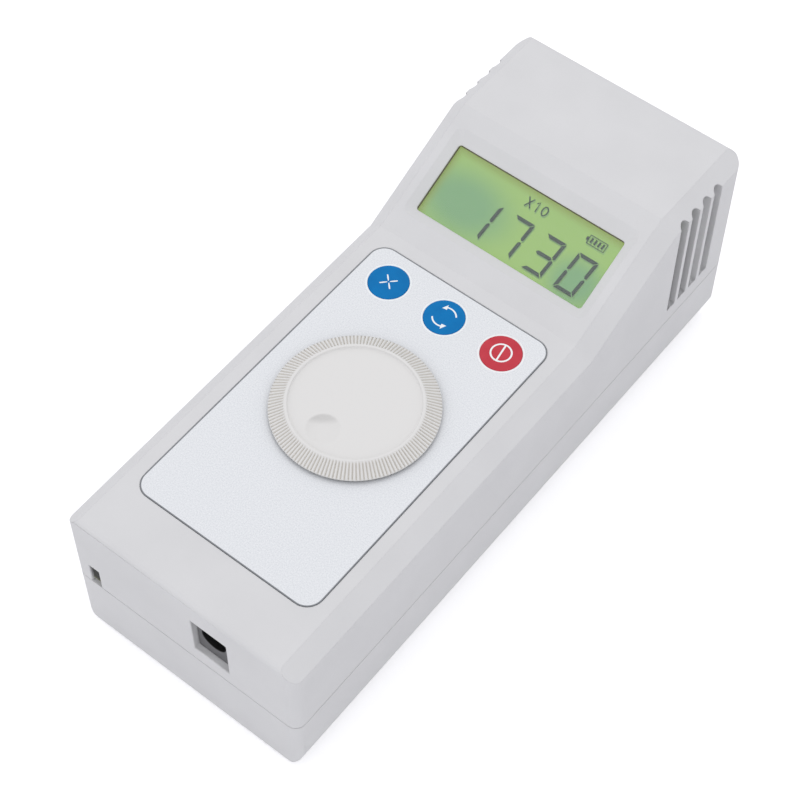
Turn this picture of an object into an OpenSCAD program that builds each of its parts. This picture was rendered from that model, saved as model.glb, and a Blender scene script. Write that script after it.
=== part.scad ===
// Handheld flash speed tester. Two moulded shells meet at a flat parting line.
// The handle carries a printed overlay, a speed knob and three film keys, and
// the raised head holds a sloping liquid crystal display and an LED lamp.
// The socket end points to -Y, the lamp end to +Y, and Z is up.

/* [Case] */
// Length of the flat handle top, from the socket end to the display slope
handle_l = 100; // [92:0.5:112]
// Length of the flat head top, from the display slope to the lamp end
head_l = 27.46; // [27:0.01:36]
// Width across the side walls
case_w = 62; // [58:1:70]
// Height of the handle
handle_h = 42.5; // [41:0.5:46]
// Height of the head above the handle
head_rise = 14.5; // [14:0.5:17]
// Angle of the display slope
slope_a = 25.4; // [24.5:0.1:26.5]
// Height of the upper shell at the handle
upper_h = 23.5; // [23.5:0.5:25]
// Thickness of the moulded walls
wall = 2.3; // [2:0.1:2.4]
// Width of the bevel along the upper edges
edge_c = 3.8; // [3:0.1:4.4]
// Radius of the lower long edges
lower_r = 7; // [6:0.5:8]
// Radius of the upright corners
corner_r = 2.6; // [2:0.1:4]
// Radius of the top edge at the socket end
near_edge_r = 1.4; // [1:0.1:3]
// Radius of the top edge at the lamp end
far_edge_r = 2; // [1:0.1:4]
// Radius of the lower end edges
foot_edge_r = 1.6; // [1:0.1:3]
// Inward lean of the lower shell at the lamp end
far_lean = 2.4; // [0:0.1:3]
// Height of the locating lip above the parting line
lip_h = 1.6; // [1:0.1:1.8]
// Thickness of the locating lip
lip_t = 1; // [0.8:0.1:1.2]

/* [Overlay and keys] */
// Distance from the bevels to the printed overlay
overlay_side = 3.2; // [2.5:0.1:4]
// Distance from the overlay to the display slope
overlay_far_gap = 3.6; // [3:0.1:5]
// Thickness of the printed overlay
overlay_t = 0.4; // [0.3:0.05:0.6]
// Corner radius of the overlay
overlay_r = 4; // [3:0.5:6]
// Distance from the socket end to the overlay
overlay_gap = 13.6; // [12:0.1:15]
// Depth of the overlay's recess
overlay_sink = 0.3; // [0.2:0.05:0.4]
// Diameter of a key
key_d = 9.4; // [8:0.1:10]
// Thickness of a key
key_t = 0.7; // [0.6:0.05:1]
// Distance between two keys
key_pitch = 15.6; // [14:0.1:16]
// Distance from the keys' centres to the overlay's far edge
key_inset = 8; // [7:0.1:9]
// Travel of a key
key_travel = 0.3; // [0.2:0.05:0.35]
// Height of a key switch, from the board to the key
switch_h = 12.7; // [12.7:0.1:14]
// Width of a key switch
switch_w = 6; // [5:0.5:7]
// Height of the switch housing
switch_base_h = 3.6; // [3:0.1:4.2]
// Diameter of the switch plunger
plunger_d = 3.4; // [3:0.1:3.6]

/* [Knob] */
// Diameter of the knob
knob_d = 37.2; // [34:0.2:40]
// Diameter of the knob's flat face
knob_face_d = 28.9; // [26:0.1:30]
// Height of the knob above its lower face
knob_h = 2.5; // [2.3:0.1:4]
// Height of the upright rim below the sloping grip
knob_rim_h = 0.8; // [0.5:0.1:1.2]
// Depth of the knob's face below the grip
knob_sink = 0.4; // [0.2:0.05:0.6]
// Gap under the knob
knob_gap = 0.4; // [0.35:0.05:0.8]
// Diameter of the knob's hub
hub_d = 11; // [10:0.5:13]
// Distance from the keys' centres to the knob's axis
knob_to_keys = 31; // [29:0.1:32]
// Diameter of the finger dimple
dimple_d = 7.4; // [6:0.1:9]
// Depth of the finger dimple
dimple_sink = 0.7; // [0.4:0.1:0.9]
// Distance from the knob's axis to the dimple
dimple_at = 9.4; // [7:0.1:10]
// Direction of the dimple from the knob's axis
dimple_a = 263; // [0:1:359]
// Diameter of the encoder shaft
shaft_d = 6; // [5:0.5:6]
// Width across the shaft's flat
shaft_flat = 4.5; // [4:0.1:5]
// Diameter of the encoder bushing
bushing_d = 7.2; // [7.2:0.1:8]
// Width of the encoder
encoder_w = 12; // [11:0.5:14]
// Height of the encoder housing
encoder_h = 6; // [5:0.5:6.5]

/* [Display] */
// Distance from the side walls to the display opening
view_side = 8.1; // [8:0.1:10]
// Height of the display opening
view_h = 17.9; // [16:0.1:18.5]
// Extra width of the bevelled frame on each side
bezel_side = 2.2; // [1:0.1:2.4]
// Extra height of the bevelled frame at its lower edge
bezel_low = 2.1; // [1:0.1:3]
// Extra height of the bevelled frame at its upper edge
bezel_high = 3.4; // [1:0.1:4]
// Depth of the bevelled frame
bezel_t = 1.2; // [0.8:0.1:1.3]
// Offset of the opening from the middle of the slope, downwards
view_drop = 0.3; // [0:0.1:0.6]
// Thickness of the clear display window
pane_t = 0.8; // [0.6:0.1:0.9]
// Thickness of the liquid crystal glass
lcd_t = 2.2; // [2:0.1:2.4]
// Thickness of the backlight
backlight_t = 2.6; // [2.2:0.1:2.8]

/* [Vents] */
// Number of vent slots on each side
vents = 4; // [2:1:4]
// Width of a vent slot
vent_w = 3.2; // [1.6:0.1:3.4]
// Distance between two vent slots
vent_pitch = 4.4; // [4.2:0.1:4.5]
// Distance from the lamp end to the nearest slot's centre
vent_inset = 10; // [9.5:0.1:11]
// Distance from the head's top to the slots' upper end
vent_drop = 2.8; // [2.8:0.1:6]
// Distance from the parting line to the slots' lower end
vent_low_gap = 4.9; // [4.4:0.1:10]

/* [Boards] */
// Thickness of a circuit board
board_t = 1.6; // [1.2:0.1:1.6]
// Gap between the side walls and the main board
main_side = 3.7; // [2.7:0.1:4.7]
// Length of the main board past the handle's flat top
main_over = 3; // [1:0.5:3]
// Gap between the main board and the power board
board_gap = 4.3; // [4.2:0.1:4.6]
// Distance from the display opening to the display board's sides
display_side = 3.1; // [2.7:0.1:3.1]
// Diameter of the board screws
board_screw_d = 2; // [1.6:0.1:2.2]
// Diameter of the bosses that carry the boards
board_boss_d = 4.6; // [4.4:0.1:5]

/* [Charging socket] */
// Width of the socket
jack_w = 9; // [8:0.1:10]
// Height of the socket
jack_h = 11; // [10.5:0.1:11.5]
// Length of the socket
jack_l = 14.2; // [13:0.1:15]
// Bore of the socket
jack_bore_d = 6.4; // [6:0.1:6.6]
// Depth of the socket's bore
jack_bore_l = 10; // [9:0.1:11]
// Diameter of the socket's centre pin
jack_pin_d = 2.1; // [2:0.1:2.5]
// Height of the bore's axis above the board
jack_axis = 6.5; // [6:0.1:7]
// Sideways place of the socket
jack_x = 8; // [6:0.5:10]
// Width of the charge light
light_w = 2; // [1.8:0.1:2.2]
// Height of the charge light
light_h = 5; // [4:0.1:5]
// Distance from the side wall to the charge light
light_inset = 3.7; // [3.3:0.1:3.7]

/* [Battery] */
// Diameter of a cell
cell_d = 18.4; // [18:0.1:18.6]
// Length of a cell
cell_l = 65; // [60:1:68]
// Thickness of the shrink sleeve
sleeve_t = 0.2; // [0.1:0.05:0.3]
// Thickness of the mounting tape under the battery
tape_t = 0.8; // [0.5:0.1:1.2]

/* [Lamp] */
// Distance from the side walls to the lamp opening
lamp_side = 9; // [8.5:0.1:10]
// Distance from the head's top to the lamp opening
lamp_top_gap = 6.5; // [6.2:0.1:7.5]
// Distance from the parting line to the lamp opening
lamp_low_gap = 3.5; // [3.3:0.1:4.5]
// Thickness of the lamp window
lamp_pane_t = 2; // [1.5:0.1:2.4]
// Depth of the reflector
reflector_l = 8.5; // [8.2:0.1:9]
// Number of lamp LEDs in a row
led_cols = 5; // [3:1:5]
// Number of rows of lamp LEDs
led_rows = 3; // [2:1:3]
// Diameter of a lamp LED
led_d = 5; // [4.8:0.1:5]

/* [Case screws] */
// Diameter of the case screws
case_screw_d = 2.9; // [2.6:0.1:3.2]
// Diameter of the case screws' heads
case_head_d = 5.4; // [5:0.1:5.6]
// Distance from the side wall to the case screws' axes
case_screw_inset = 8.2; // [7.7:0.1:8.2]

/* [Hidden] */

$fn = 64;

// Clearances: of parts that turn or slide, of fastened parts, of loose ones
run_fit = 0.05;
seat_fit = 0.1;
free_fit = 0.3;
// How far one shape reaches into its neighbour before they are joined
bite = 0.5;
// A length past any wall, for cuts
past = 200;
// The usual distance between two pins
pin_pitch = 2.54;
// The bevels beside the slope lie this much deeper than the others, so that
// no four faces meet in one point
bevel_step = 0.1;

slope_l = head_rise / sin(slope_a);
slope_run = head_rise / tan(slope_a);
// The overall length comes out in whole tenths
case_l = round(10 * (handle_l + slope_run + head_l)) / 10;
head_h = handle_h + head_rise;
part_h = handle_h - upper_h;
near_y = -case_l / 2;
far_y = case_l / 2;
crease_y = near_y + handle_l;
head_y = crease_y + slope_run;
inner_x = case_w / 2 - wall;
inner_near_y = near_y + wall;
inner_far_y = far_y - wall;
ceiling_z = handle_h - wall;

overlay_w = case_w - 2 * (edge_c + overlay_side);
overlay_l = handle_l - overlay_gap - overlay_far_gap;
overlay_z = handle_h - overlay_sink;
overlay_y = near_y + overlay_gap + overlay_l / 2;
key_y = overlay_y + overlay_l / 2 - key_inset;
knob_axis_y = key_y - knob_to_keys;
knob_z = overlay_z + overlay_t + knob_gap;
knob_top_z = knob_z + knob_h;
hub_l = knob_z - ceiling_z + free_fit;
hub_z = knob_z - hub_l;

main_top = overlay_z - switch_h;
main_near_y = near_y + wall + jack_l + 2.5;
main_w = 2 * (inner_x - main_side);
main_l = crease_y + main_over - main_near_y;
main_y = main_near_y + main_l / 2;
main_screw_x = main_w / 2 - 3.5;
main_screw_y = [main_near_y + 4, main_near_y + main_l - 4.5];
power_top = main_top - board_t - board_gap;

jack_face_y = inner_near_y + free_fit;
jack_z = power_top + jack_axis;
jack_cut = 0.25;
jack_tip_gap = 2;
light_x = light_inset - inner_x;
light_z = power_top - board_t / 2;
light_l = 5;
light_cut = 0.35;
// The light's two leads clasp the edge of the power board over this length
lead_t = 0.5;
lead_grip = 2.5;

case_screw_x = inner_x - case_screw_inset;
case_screw_y = [near_y + 8.5, far_y - 31];
case_boss_d = case_screw_d + 3.3;
case_boss_h = 15;
case_seat_z = 7;
// The rib of a case boss starts this far above the parting line
boss_rib_gap = 8;
boss_rib_t = 1.6;

narrow_w = 2 * (case_screw_x - case_boss_d / 2 - 0.6);
wide_w = 2 * (inner_x - 1.7);
wide_y = case_screw_y[0] + case_boss_d / 2 + 0.8;
power_far_y = main_near_y + 14;
power_screws = [[-10, case_screw_y[0] + 0.5], [15.2, main_near_y - 3.3]];

view_w = case_w - 2 * view_side;
pane_z = bezel_t + 0.3;
pane_w = view_w + 3;
pane_h = view_h + 3;
lcd_w = view_w + 4.4;
lcd_h = view_h + 6;
view_s = slope_l / 2 - view_drop;
lcd_z = -(pane_z + pane_t);
board_s = [1, slope_l - 1.4];
display_z = lcd_z - lcd_t - backlight_t;
display_board_w = view_w + 2 * display_side;
display_screw_s = [board_s[0] + 1.6, board_s[1] - 1.8];
display_screw_x = display_board_w / 2 - 4;
display_screw_d = board_screw_d - 0.4;

// Sockets of the flat cable: width, length and height, and where the two sit
ribbon_socket = [11, 4, 2.4];
ribbon_w = 9;
ribbon_x = -6;
ribbon_y = main_near_y + main_l - 3.5;
ribbon_s = board_s[0] + 5;

pack_x = cell_d / 2;
pack_z = wall + tape_t + sleeve_t + cell_d / 2;
pack_top = pack_z + cell_d / 2 + sleeve_t;
pack_near_y = near_y + 37.5;

vent_l = upper_h + head_rise - vent_drop - vent_low_gap;

lamp_w = case_w - 2 * lamp_side;
lamp_h = upper_h + head_rise - lamp_top_gap - lamp_low_gap;
lamp_z = head_h - lamp_top_gap - lamp_h / 2;
led_pitch = [(lamp_w - 1) / led_cols, (lamp_h - 2.2) / led_rows];
lamp_front_y = inner_far_y - lamp_pane_t;
led_face_y = lamp_front_y - reflector_l;
sink_y = led_face_y - board_t;
sink_base = 2;
fin_l = 6;
lamp_board_w = 2 * (inner_x - free_fit);
lamp_board_h = lamp_h + 3;
lamp_boss_d = 4.2;
// The lamp's bosses reach this far into the side walls
lamp_boss_bite = 0.3;
lamp_screw_x = inner_x + lamp_boss_bite - lamp_boss_d / 2;
lamp_screw_z = lamp_board_h / 2 - 3;
lamp_screw_d = 2;

upper_colour = [0.85, 0.85, 0.87];
grip_colour = [0.9, 0.89, 0.87];
film_colour = [0.88, 0.9, 0.92];
board_colour = [0.1, 0.4, 0.2];
steel_colour = [0.75, 0.76, 0.78];
black_colour = [0.1, 0.1, 0.11];
grey_colour = [0.35, 0.36, 0.37];

// Routes of the wires inside the case, from the socket to the far solder point,
// with Y from the display slope and from the near end of the battery
lamp_points = [[0, 1.4, 32], [0, 5, 31.8], [-1, 13, 29], [-3, 23, 25.4], [-5, 33, 23.6], [-6, 43.6, 23.4]];
lamp_route = [for (p = lamp_points) p + [0, crease_y, 0]];
lamp_wire_x = [9.2, 6.8];
battery_points = [[0, -0.1, 14.5], [0, -2, 14.7], [0, -4.5, 16], [0, -7.5, 18.6], [0, -11.5, 19.2]];
battery_route = [for (p = battery_points) p + [0, pack_near_y, 0]];
battery_wire_x = [-4.9, -7.1];
wire_d = 1.3;

function arc(c, r, a0, a1, n = 8) =
    [for (i = [0:n]) c + r * [cos(a0 + (a1 - a0) * i / n), sin(a0 + (a1 - a0) * i / n)]];

// A point of the smooth curve through the chosen points of a route
function curve_at(p, i, t) =
    let (a = p[max(i - 1, 0)], b = p[i], c = p[i + 1], d = p[min(i + 2, len(p) - 1)])
    0.5 * (2 * b + (c - a) * t + (2 * a - 5 * b + 4 * c - d) * t * t
        + (3 * b - a - 3 * c + d) * t * t * t);
function curve(p, n) = concat(
    [for (i = [0:len(p) - 2]) for (k = [0:n - 1]) curve_at(p, i, k / n)], [p[len(p) - 1]]);
function unit(v) = v / norm(v);

// Extrudes an outline drawn in X and Z along the case
module along_y(y0, y1) {
    translate([0, y1, 0]) rotate([90, 0, 0]) linear_extrude(y1 - y0) children();
}

// Extrudes an outline drawn in Y and Z across the case
module along_x(w) {
    rotate([90, 0, 90]) linear_extrude(w, center = true) children();
}

// A slab with round upright corners, its lower face at z = 0
module round_slab(w, l, r, h) {
    translate([-w / 2 + r, -l / 2, 0]) cube([w - 2 * r, l, h]);
    translate([-w / 2, -l / 2 + r, 0]) cube([w, l - 2 * r, h]);
    for (sx = [-1, 1], sy = [-1, 1])
        translate([sx * (w / 2 - r), sy * (l / 2 - r), 0]) cylinder(r = r, h = h);
}

// A slab like round_slab that stands on edge, its lower face towards +Y
module upright_slab(w, h, r, t) {
    rotate([90, 0, 0]) round_slab(w, h, r, t);
}

module block(size) {
    translate([-size[0] / 2, -size[1] / 2, 0]) cube(size);
}

// Moves to the display slope: X across, Y up the slope, Z out of it
module on_slope() {
    translate([0, crease_y, handle_h]) rotate([slope_a, 0, 0]) children();
}

// Height at which the bevels of a top at the given height would meet, inset by t
function peak(top, t) = top - t + case_w / 2 - edge_c - t * (sqrt(2) - 1);

// Cross-section of the head: round lower edges, upright sides and the bevels,
// which the side view cuts off at the top
function section(t) = let (
    half = case_w / 2 - t,
    c = case_w / 2 - lower_r)
    concat(arc([c, lower_r], lower_r - t, -90, 0),
        [[half, peak(head_h, t) - half], [0, peak(head_h, t)], [-half, peak(head_h, t) - half]],
        arc([-c, lower_r], lower_r - t, 180, 270));

// Outline whose two sloping sides cut the bevels of a top at the given height
function gable(top, t) =
    [[-past, peak(top, t) - past], [past, peak(top, t) - past], [0, peak(top, t)]];

// Side view of the case, inset by t
function side_view(t) = let (
    rn = max(near_edge_r - t, 0.3), rf = max(far_edge_r - t, 0.3), rb = max(foot_edge_r - t, 0.3),
    shift = t * tan(slope_a / 2),
    heel_y = far_y - t - far_lean * (1 - (t + rb) / part_h))
    concat(
        arc([near_y + t + rb, t + rb], rb, 180, 270, 5), arc([heel_y - rb, t + rb], rb, 270, 360, 5),
        [[far_y - t, part_h]], arc([far_y - t - rf, head_h - t - rf], rf, 0, 90, 5),
        [[head_y + shift, head_h - t], [crease_y + shift, handle_h - t]],
        arc([near_y + t + rn, handle_h - t - rn], rn, 90, 180, 5));

// The closed form of the whole case, every face moved inwards by t
module case_form(t) {
    r = max(corner_r - t, 0.4);
    intersection() {
        along_x(past) polygon(side_view(t));
        round_slab(case_w - 2 * t, case_l - 2 * t, r, head_h + 1);
        along_y(-past, past) polygon(section(t));
        union() {
            along_y(-past, past) polygon(gable(handle_h, t));
            on_slope() along_y(-past, past) polygon(gable(-bevel_step, t));
        }
    }
}

// A hanging boss with a blind screw hole, its lower face at z
module hanging_boss(x, y, z, d, top) {
    translate([x, y, z]) cylinder(d = d, h = top - z);
}

// A boss for a case screw, with a rib to the side wall; side is -1 or 1
module case_boss(side, y) {
    reach = inner_x + bite - case_screw_x;
    translate([side * case_screw_x, y, part_h]) cylinder(d = case_boss_d, h = case_boss_h);
    translate([side * (case_screw_x + reach / 2), y, part_h + boss_rib_gap])
        block([reach, boss_rib_t, case_boss_h - boss_rib_gap]);
}

module vent_cut(side, y) {
    top = head_h - vent_drop;
    depth = wall + edge_c;
    x0 = side > 0 ? case_w / 2 - depth : -case_w / 2 - depth;
    translate([x0, y - vent_w / 2, top - vent_l]) cube([2 * depth, vent_w, vent_l - vent_w / 2]);
    translate([x0, y, top - vent_w / 2]) rotate([0, 90, 0]) cylinder(d = vent_w, h = 2 * depth);
}

// The cut of the display opening: a bevelled frame and a straight window
module bezel_cut() {
    on_slope() translate([0, view_s, 0]) {
        hull() {
            bezel_level(-bezel_t - 0.1);
            bezel_level(0.5);
        }
        translate([0, 0, -wall - 1]) round_slab(view_w, view_h, 0.8, wall + 1);
        translate([0, 0, -wall - 1])
            block([pane_w + 2 * seat_fit, pane_h + 2 * seat_fit, wall + 1 - pane_z]);
    }
}

// The corner posts of the bevelled frame at a height z over the slope: it has
// its full width at z = 0 and the window's at its foot
module bezel_level(z) {
    k = 1 + z / bezel_t;
    r = 0.5 + 1.5 * k;
    w = view_w / 2 + k * bezel_side;
    for (x = [r - w, w - r], y = [r - view_h / 2 - k * bezel_low, view_h / 2 + k * bezel_high - r])
        translate([x, y, z]) cylinder(r = r, h = 0.05, $fn = 32);
}

module upper_case() {
    color(upper_colour) difference() {
        union() {
            difference() {
                intersection() {
                    case_form(0);
                    translate([-past / 2, -past / 2, part_h]) cube(past);
                }
                case_form(wall);
                for (side = [-1, 1], i = [0:vents - 1])
                    vent_cut(side, far_y - vent_inset - i * vent_pitch);
            }
            for (side = [-1, 1], y = case_screw_y) case_boss(side, y);
            for (x = [-1, 1], y = main_screw_y)
                hanging_boss(x * main_screw_x, y, main_top, board_boss_d, ceiling_z + bite);
            for (p = power_screws)
                hanging_boss(p[0], p[1], power_top, board_boss_d, ceiling_z + bite);
            on_slope() for (x = [-1, 1], s = display_screw_s)
                translate([x * display_screw_x, s, display_z])
                    cylinder(d = board_boss_d - 0.8, h = -display_z - wall + bite);
            for (x = [-1, 1], z = [-1, 1])
                translate([x * lamp_screw_x, inner_far_y + bite, lamp_z + z * lamp_screw_z])
                    rotate([90, 0, 0]) cylinder(d = lamp_boss_d, h = inner_far_y + bite - led_face_y);
        }
        translate([0, overlay_y, overlay_z])
            round_slab(overlay_w + 2 * seat_fit, overlay_l + 2 * seat_fit, overlay_r, past);
        translate([0, knob_axis_y, ceiling_z - 1]) cylinder(d = hub_d + 4 * free_fit, h = past);
        for (i = [-1:1])
            translate([i * key_pitch, key_y, ceiling_z - 1]) cylinder(d = key_d + 2 * free_fit, h = past);
        bezel_cut();
        translate([jack_x, near_y, power_top - jack_cut])
            block([jack_w + 2 * jack_cut, 3 * wall, jack_h + 0.8]);
        translate([light_x, near_y, part_h - 1])
            block([light_w + 2 * light_cut, 3 * wall, light_z + light_h / 2 + light_cut + 1 - part_h]);
        translate([0, inner_far_y + 2 * wall, lamp_z]) upright_slab(lamp_w, lamp_h, 5, 3 * wall);
        for (x = [-1, 1], y = case_screw_y)
            translate([x * case_screw_x, y, part_h - 1])
                cylinder(d = case_screw_d + 2 * run_fit, h = case_boss_h - 1);
        for (x = [-1, 1], y = main_screw_y)
            translate([x * main_screw_x, y, main_top - 1]) cylinder(d = board_screw_d + 2 * run_fit, h = 8);
        for (p = power_screws)
            translate([p[0], p[1], power_top - 1]) cylinder(d = board_screw_d + 2 * run_fit, h = 8);
        on_slope() for (x = [-1, 1], s = display_screw_s)
            translate([x * display_screw_x, s, display_z - 1])
                cylinder(d = display_screw_d + 2 * run_fit, h = 4.6);
        for (x = [-1, 1], z = [-1, 1])
            translate([x * lamp_screw_x, led_face_y + 8, lamp_z + z * lamp_screw_z])
                rotate([90, 0, 0]) cylinder(d = lamp_screw_d + 2 * run_fit, h = 9);
    }
}

// The ring that the upper shell slips over, and its root on the lower wall
module lip() {
    root = 1.5;
    difference() {
        union() {
            intersection() {
                case_form(wall + seat_fit);
                translate([-past / 2, -past / 2, part_h - root]) cube([past, past, root + lip_h]);
            }
            intersection() {
                case_form(wall - bite);
                translate([-past / 2, -past / 2, part_h - root]) cube([past, past, root]);
            }
        }
        case_form(wall + seat_fit + lip_t);
        translate([light_x, near_y, part_h]) block([light_w + 3, 20, 20]);
        for (x = [-1, 1], y = case_screw_y)
            translate([x * inner_x, y, part_h]) block([12, case_boss_d + 2, 20]);
    }
}

module lower_case() {
    color(upper_colour) difference() {
        union() {
            difference() {
                intersection() {
                    case_form(0);
                    translate([-past / 2, -past / 2, 0]) cube([past, past, part_h]);
                }
                case_form(wall);
            }
            lip();
            intersection() {
                translate([-past / 2, -past / 2, wall / 2]) cube([past, past, part_h - wall / 2]);
                case_form(wall / 2);
                union() {
                    for (x = [-1, 1], y = case_screw_y)
                        translate([x * case_screw_x, y, 0]) cylinder(d = case_head_d + 3.2, h = part_h);
                    for (x = [-1, 1], y = [pack_near_y + 8, pack_near_y + cell_l - 8])
                        translate([x * (cell_d + sleeve_t + free_fit + 0.8), y, 0]) block([1.6, 6, 14]);
                    for (y = [pack_near_y - 1.2, pack_near_y + cell_l + 1.2])
                        translate([0, y, 0]) block([30, 1.6, 8]);
                }
            }
        }
        for (x = [-1, 1], y = case_screw_y) translate([x * case_screw_x, y, -1]) {
            cylinder(d = case_screw_d + 2 * seat_fit, h = past);
            cylinder(d = case_head_d + 2 * free_fit, h = case_seat_z + 1);
        }
    }
}

// A pan-head screw, its head's lower face at z = 0 and its shank along +Z
module screw(d, l, head_d, head_h) {
    difference() {
        translate([0, 0, -head_h]) cylinder(d = head_d, h = head_h);
        for (a = [0, 90]) rotate([0, 0, a]) translate([0, 0, -head_h - 0.1])
            block([head_d * 0.55, 0.6, head_h * 0.5]);
    }
    cylinder(d = d, h = l - d / 2);
    translate([0, 0, l - d / 2]) cylinder(d1 = d, d2 = d / 3, h = d / 2);
}

module case_screws() {
    color(steel_colour) for (x = [-1, 1], y = case_screw_y)
        translate([x * case_screw_x, y, case_seat_z])
            screw(case_screw_d, part_h - case_seat_z + case_boss_h - 4, case_head_d, 2);
}

module keypad_overlay() {
    color(film_colour) translate([0, overlay_y, overlay_z]) difference() {
        round_slab(overlay_w, overlay_l, overlay_r - seat_fit, overlay_t);
        translate([0, knob_axis_y - overlay_y, -1]) cylinder(d = hub_d + 4 * free_fit, h = 3);
        for (i = [-1:1]) translate([i * key_pitch, key_y - overlay_y, -1])
            cylinder(d = key_d + 2 * free_fit, h = 3);
    }
}

module key_disc(i) {
    e = 0.15;
    translate([i * key_pitch, key_y, overlay_z]) rotate_extrude()
        polygon([[0, 0], [key_d / 2, 0], [key_d / 2, key_t - e], [key_d / 2 - e, key_t], [0, key_t]]);
}

module key_multiplier() { color([0, 0.42, 0.75]) key_disc(-1); }
module key_phase() { color([0, 0.42, 0.75]) key_disc(0); }
module key_power() { color([0.83, 0.2, 0.24]) key_disc(1); }

module plunger(i) {
    foot = switch_base_h - 1.6;
    color(black_colour) translate([i * key_pitch, key_y, main_top + foot])
        cylinder(d = plunger_d, h = switch_h - foot);
}

module plunger_multiplier() { plunger(-1); }
module plunger_phase() { plunger(0); }
module plunger_power() { plunger(1); }

module switch_housings() {
    color(grey_colour) for (i = [-1:1]) translate([i * key_pitch, key_y, main_top]) difference() {
        block([switch_w, switch_w, switch_base_h]);
        translate([0, 0, switch_base_h - 1.6 - key_travel - 0.3])
            cylinder(d = plunger_d + 2 * run_fit, h = switch_base_h);
    }
}

module knob() {
    r = knob_d / 2;
    rf = knob_face_d / 2;
    floor_h = knob_h - knob_sink;
    bore_top = knob_h - knob_sink - 0.9;
    ball_r = (pow(dimple_d / 2, 2) + pow(dimple_sink, 2)) / (2 * dimple_sink);
    color(grip_colour) translate([0, knob_axis_y, knob_z]) difference() {
        union() {
            rotate_extrude($fn = 128) polygon([[0, 0], [r - 0.3, 0], [r, 0.3], [r, knob_rim_h],
                [rf + 0.6, knob_h], [rf, knob_h], [rf - 0.2, floor_h], [0, floor_h]]);
            translate([0, 0, -hub_l]) cylinder(d = hub_d, h = hub_l + bite);
        }
        translate([0, 0, -hub_l - 1]) intersection() {
            cylinder(d = shaft_d + 2 * run_fit, h = hub_l + 1 + bore_top);
            translate([-past / 2, shaft_d / 2 - shaft_flat - run_fit, 0]) cube(past);
        }
        rotate([0, 0, dimple_a]) translate([dimple_at, 0, floor_h - dimple_sink + ball_r])
            sphere(r = ball_r, $fn = 96);
    }
}

module encoder_shaft() {
    foot = 1.2;
    top = knob_z + knob_h - knob_sink - 0.9 - run_fit;
    color(steel_colour) translate([0, knob_axis_y, main_top + foot]) intersection() {
        cylinder(d = shaft_d, h = top - main_top - foot);
        union() {
            cylinder(d = shaft_d + 1, h = hub_z - run_fit - main_top - foot);
            translate([-past / 2, shaft_d / 2 - shaft_flat, 0]) cube(past);
        }
    }
}

module encoder_bushing() {
    h = hub_z - free_fit - main_top - encoder_h;
    color(steel_colour) translate([0, knob_axis_y, main_top + encoder_h]) difference() {
        cylinder(d = bushing_d, h = h);
        translate([0, 0, -1]) cylinder(d = shaft_d + 2 * run_fit, h = h + 2);
    }
}

module encoder_housing() {
    color(grey_colour) translate([0, knob_axis_y, main_top]) difference() {
        block([encoder_w, encoder_w + 1.4, encoder_h]);
        translate([0, 0, 0.9]) cylinder(d = shaft_d + 2 * run_fit, h = encoder_h);
    }
}

module main_board() {
    color(board_colour) translate([0, main_y, main_top - board_t]) difference() {
        block([main_w, main_l, board_t]);
        for (x = [-1, 1], y = main_screw_y)
            translate([x * main_screw_x, y - main_y, -1]) cylinder(d = board_screw_d + 2 * seat_fit, h = 4);
    }
}

module main_board_screws() {
    color(steel_colour) for (x = [-1, 1], y = main_screw_y)
        translate([x * main_screw_x, y, main_top - board_t]) screw(board_screw_d, board_t + 6, 3.8, 1.4);
}

module microcontroller() {
    color(black_colour) translate([0, knob_axis_y - 16, main_top]) block([10, 10, 1.4]);
}

module crystal() {
    color(steel_colour) translate([0, knob_axis_y - 25.4, main_top]) {
        block([6.2, 4.4, 3.4]);
        for (x = [-1, 1]) translate([x * 3.1, 0, 0]) cylinder(d = 4.4, h = 3.4);
    }
}

module buffer_capacitors() {
    color([0.2, 0.22, 0.35]) for (x = [-1, 1])
        translate([x * 15, knob_axis_y - 23.4, main_top]) cylinder(d = 8, h = 9);
}

module lamp_driver() {
    color(black_colour) translate([14, key_y - 13, main_top]) block([6.6, 6.1, 2.3]);
}

// Both wires' ends lie on the socket's far side
module lamp_socket() {
    x = (lamp_wire_x[0] + lamp_wire_x[1]) / 2;
    color([0.93, 0.92, 0.88]) translate([x, lamp_route[0][1] - 2.4, main_top]) block([7.2, 4.8, 5]);
}

module display_window() {
    color([0.8, 0.9, 0.95, 0.4]) on_slope() translate([0, view_s, lcd_z]) block([pane_w, pane_h, pane_t]);
}

module lcd_glass() {
    color([0.62, 0.78, 0.5]) on_slope() translate([0, view_s, lcd_z - lcd_t]) block([lcd_w, lcd_h, lcd_t]);
}

module lcd_pins() {
    n = 16;
    color(steel_colour) on_slope() for (i = [0:n - 1])
        translate([(i - (n - 1) / 2) * pin_pitch, view_s - lcd_h / 2 + 0.6, display_z])
            block([0.5, 0.4, backlight_t]);
}

module lcd_backlight() {
    color([0.85, 0.95, 0.6]) on_slope() translate([0, view_s + 0.9, display_z])
        block([lcd_w - 1, lcd_h - 2.4, backlight_t]);
}

module display_board() {
    color(board_colour) on_slope() translate([0, 0, display_z - board_t]) difference() {
        translate([-display_board_w / 2, board_s[0], 0])
            cube([display_board_w, board_s[1] - board_s[0], board_t]);
        for (x = [-1, 1], s = display_screw_s)
            translate([x * display_screw_x, s, -1]) cylinder(d = display_screw_d + 2 * seat_fit, h = 4);
    }
}

module display_board_screws() {
    color(steel_colour) on_slope() for (x = [-1, 1], s = display_screw_s)
        translate([x * display_screw_x, s, display_z - board_t])
            screw(display_screw_d, board_t + 3.2, 2.8, 1.1);
}

module ribbon_sockets() {
    color([0.93, 0.92, 0.88]) {
        translate([ribbon_x, ribbon_y, main_top]) block(ribbon_socket);
        on_slope() translate([ribbon_x, ribbon_s, display_z - board_t - ribbon_socket[2]])
            block(ribbon_socket);
    }
}

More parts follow.
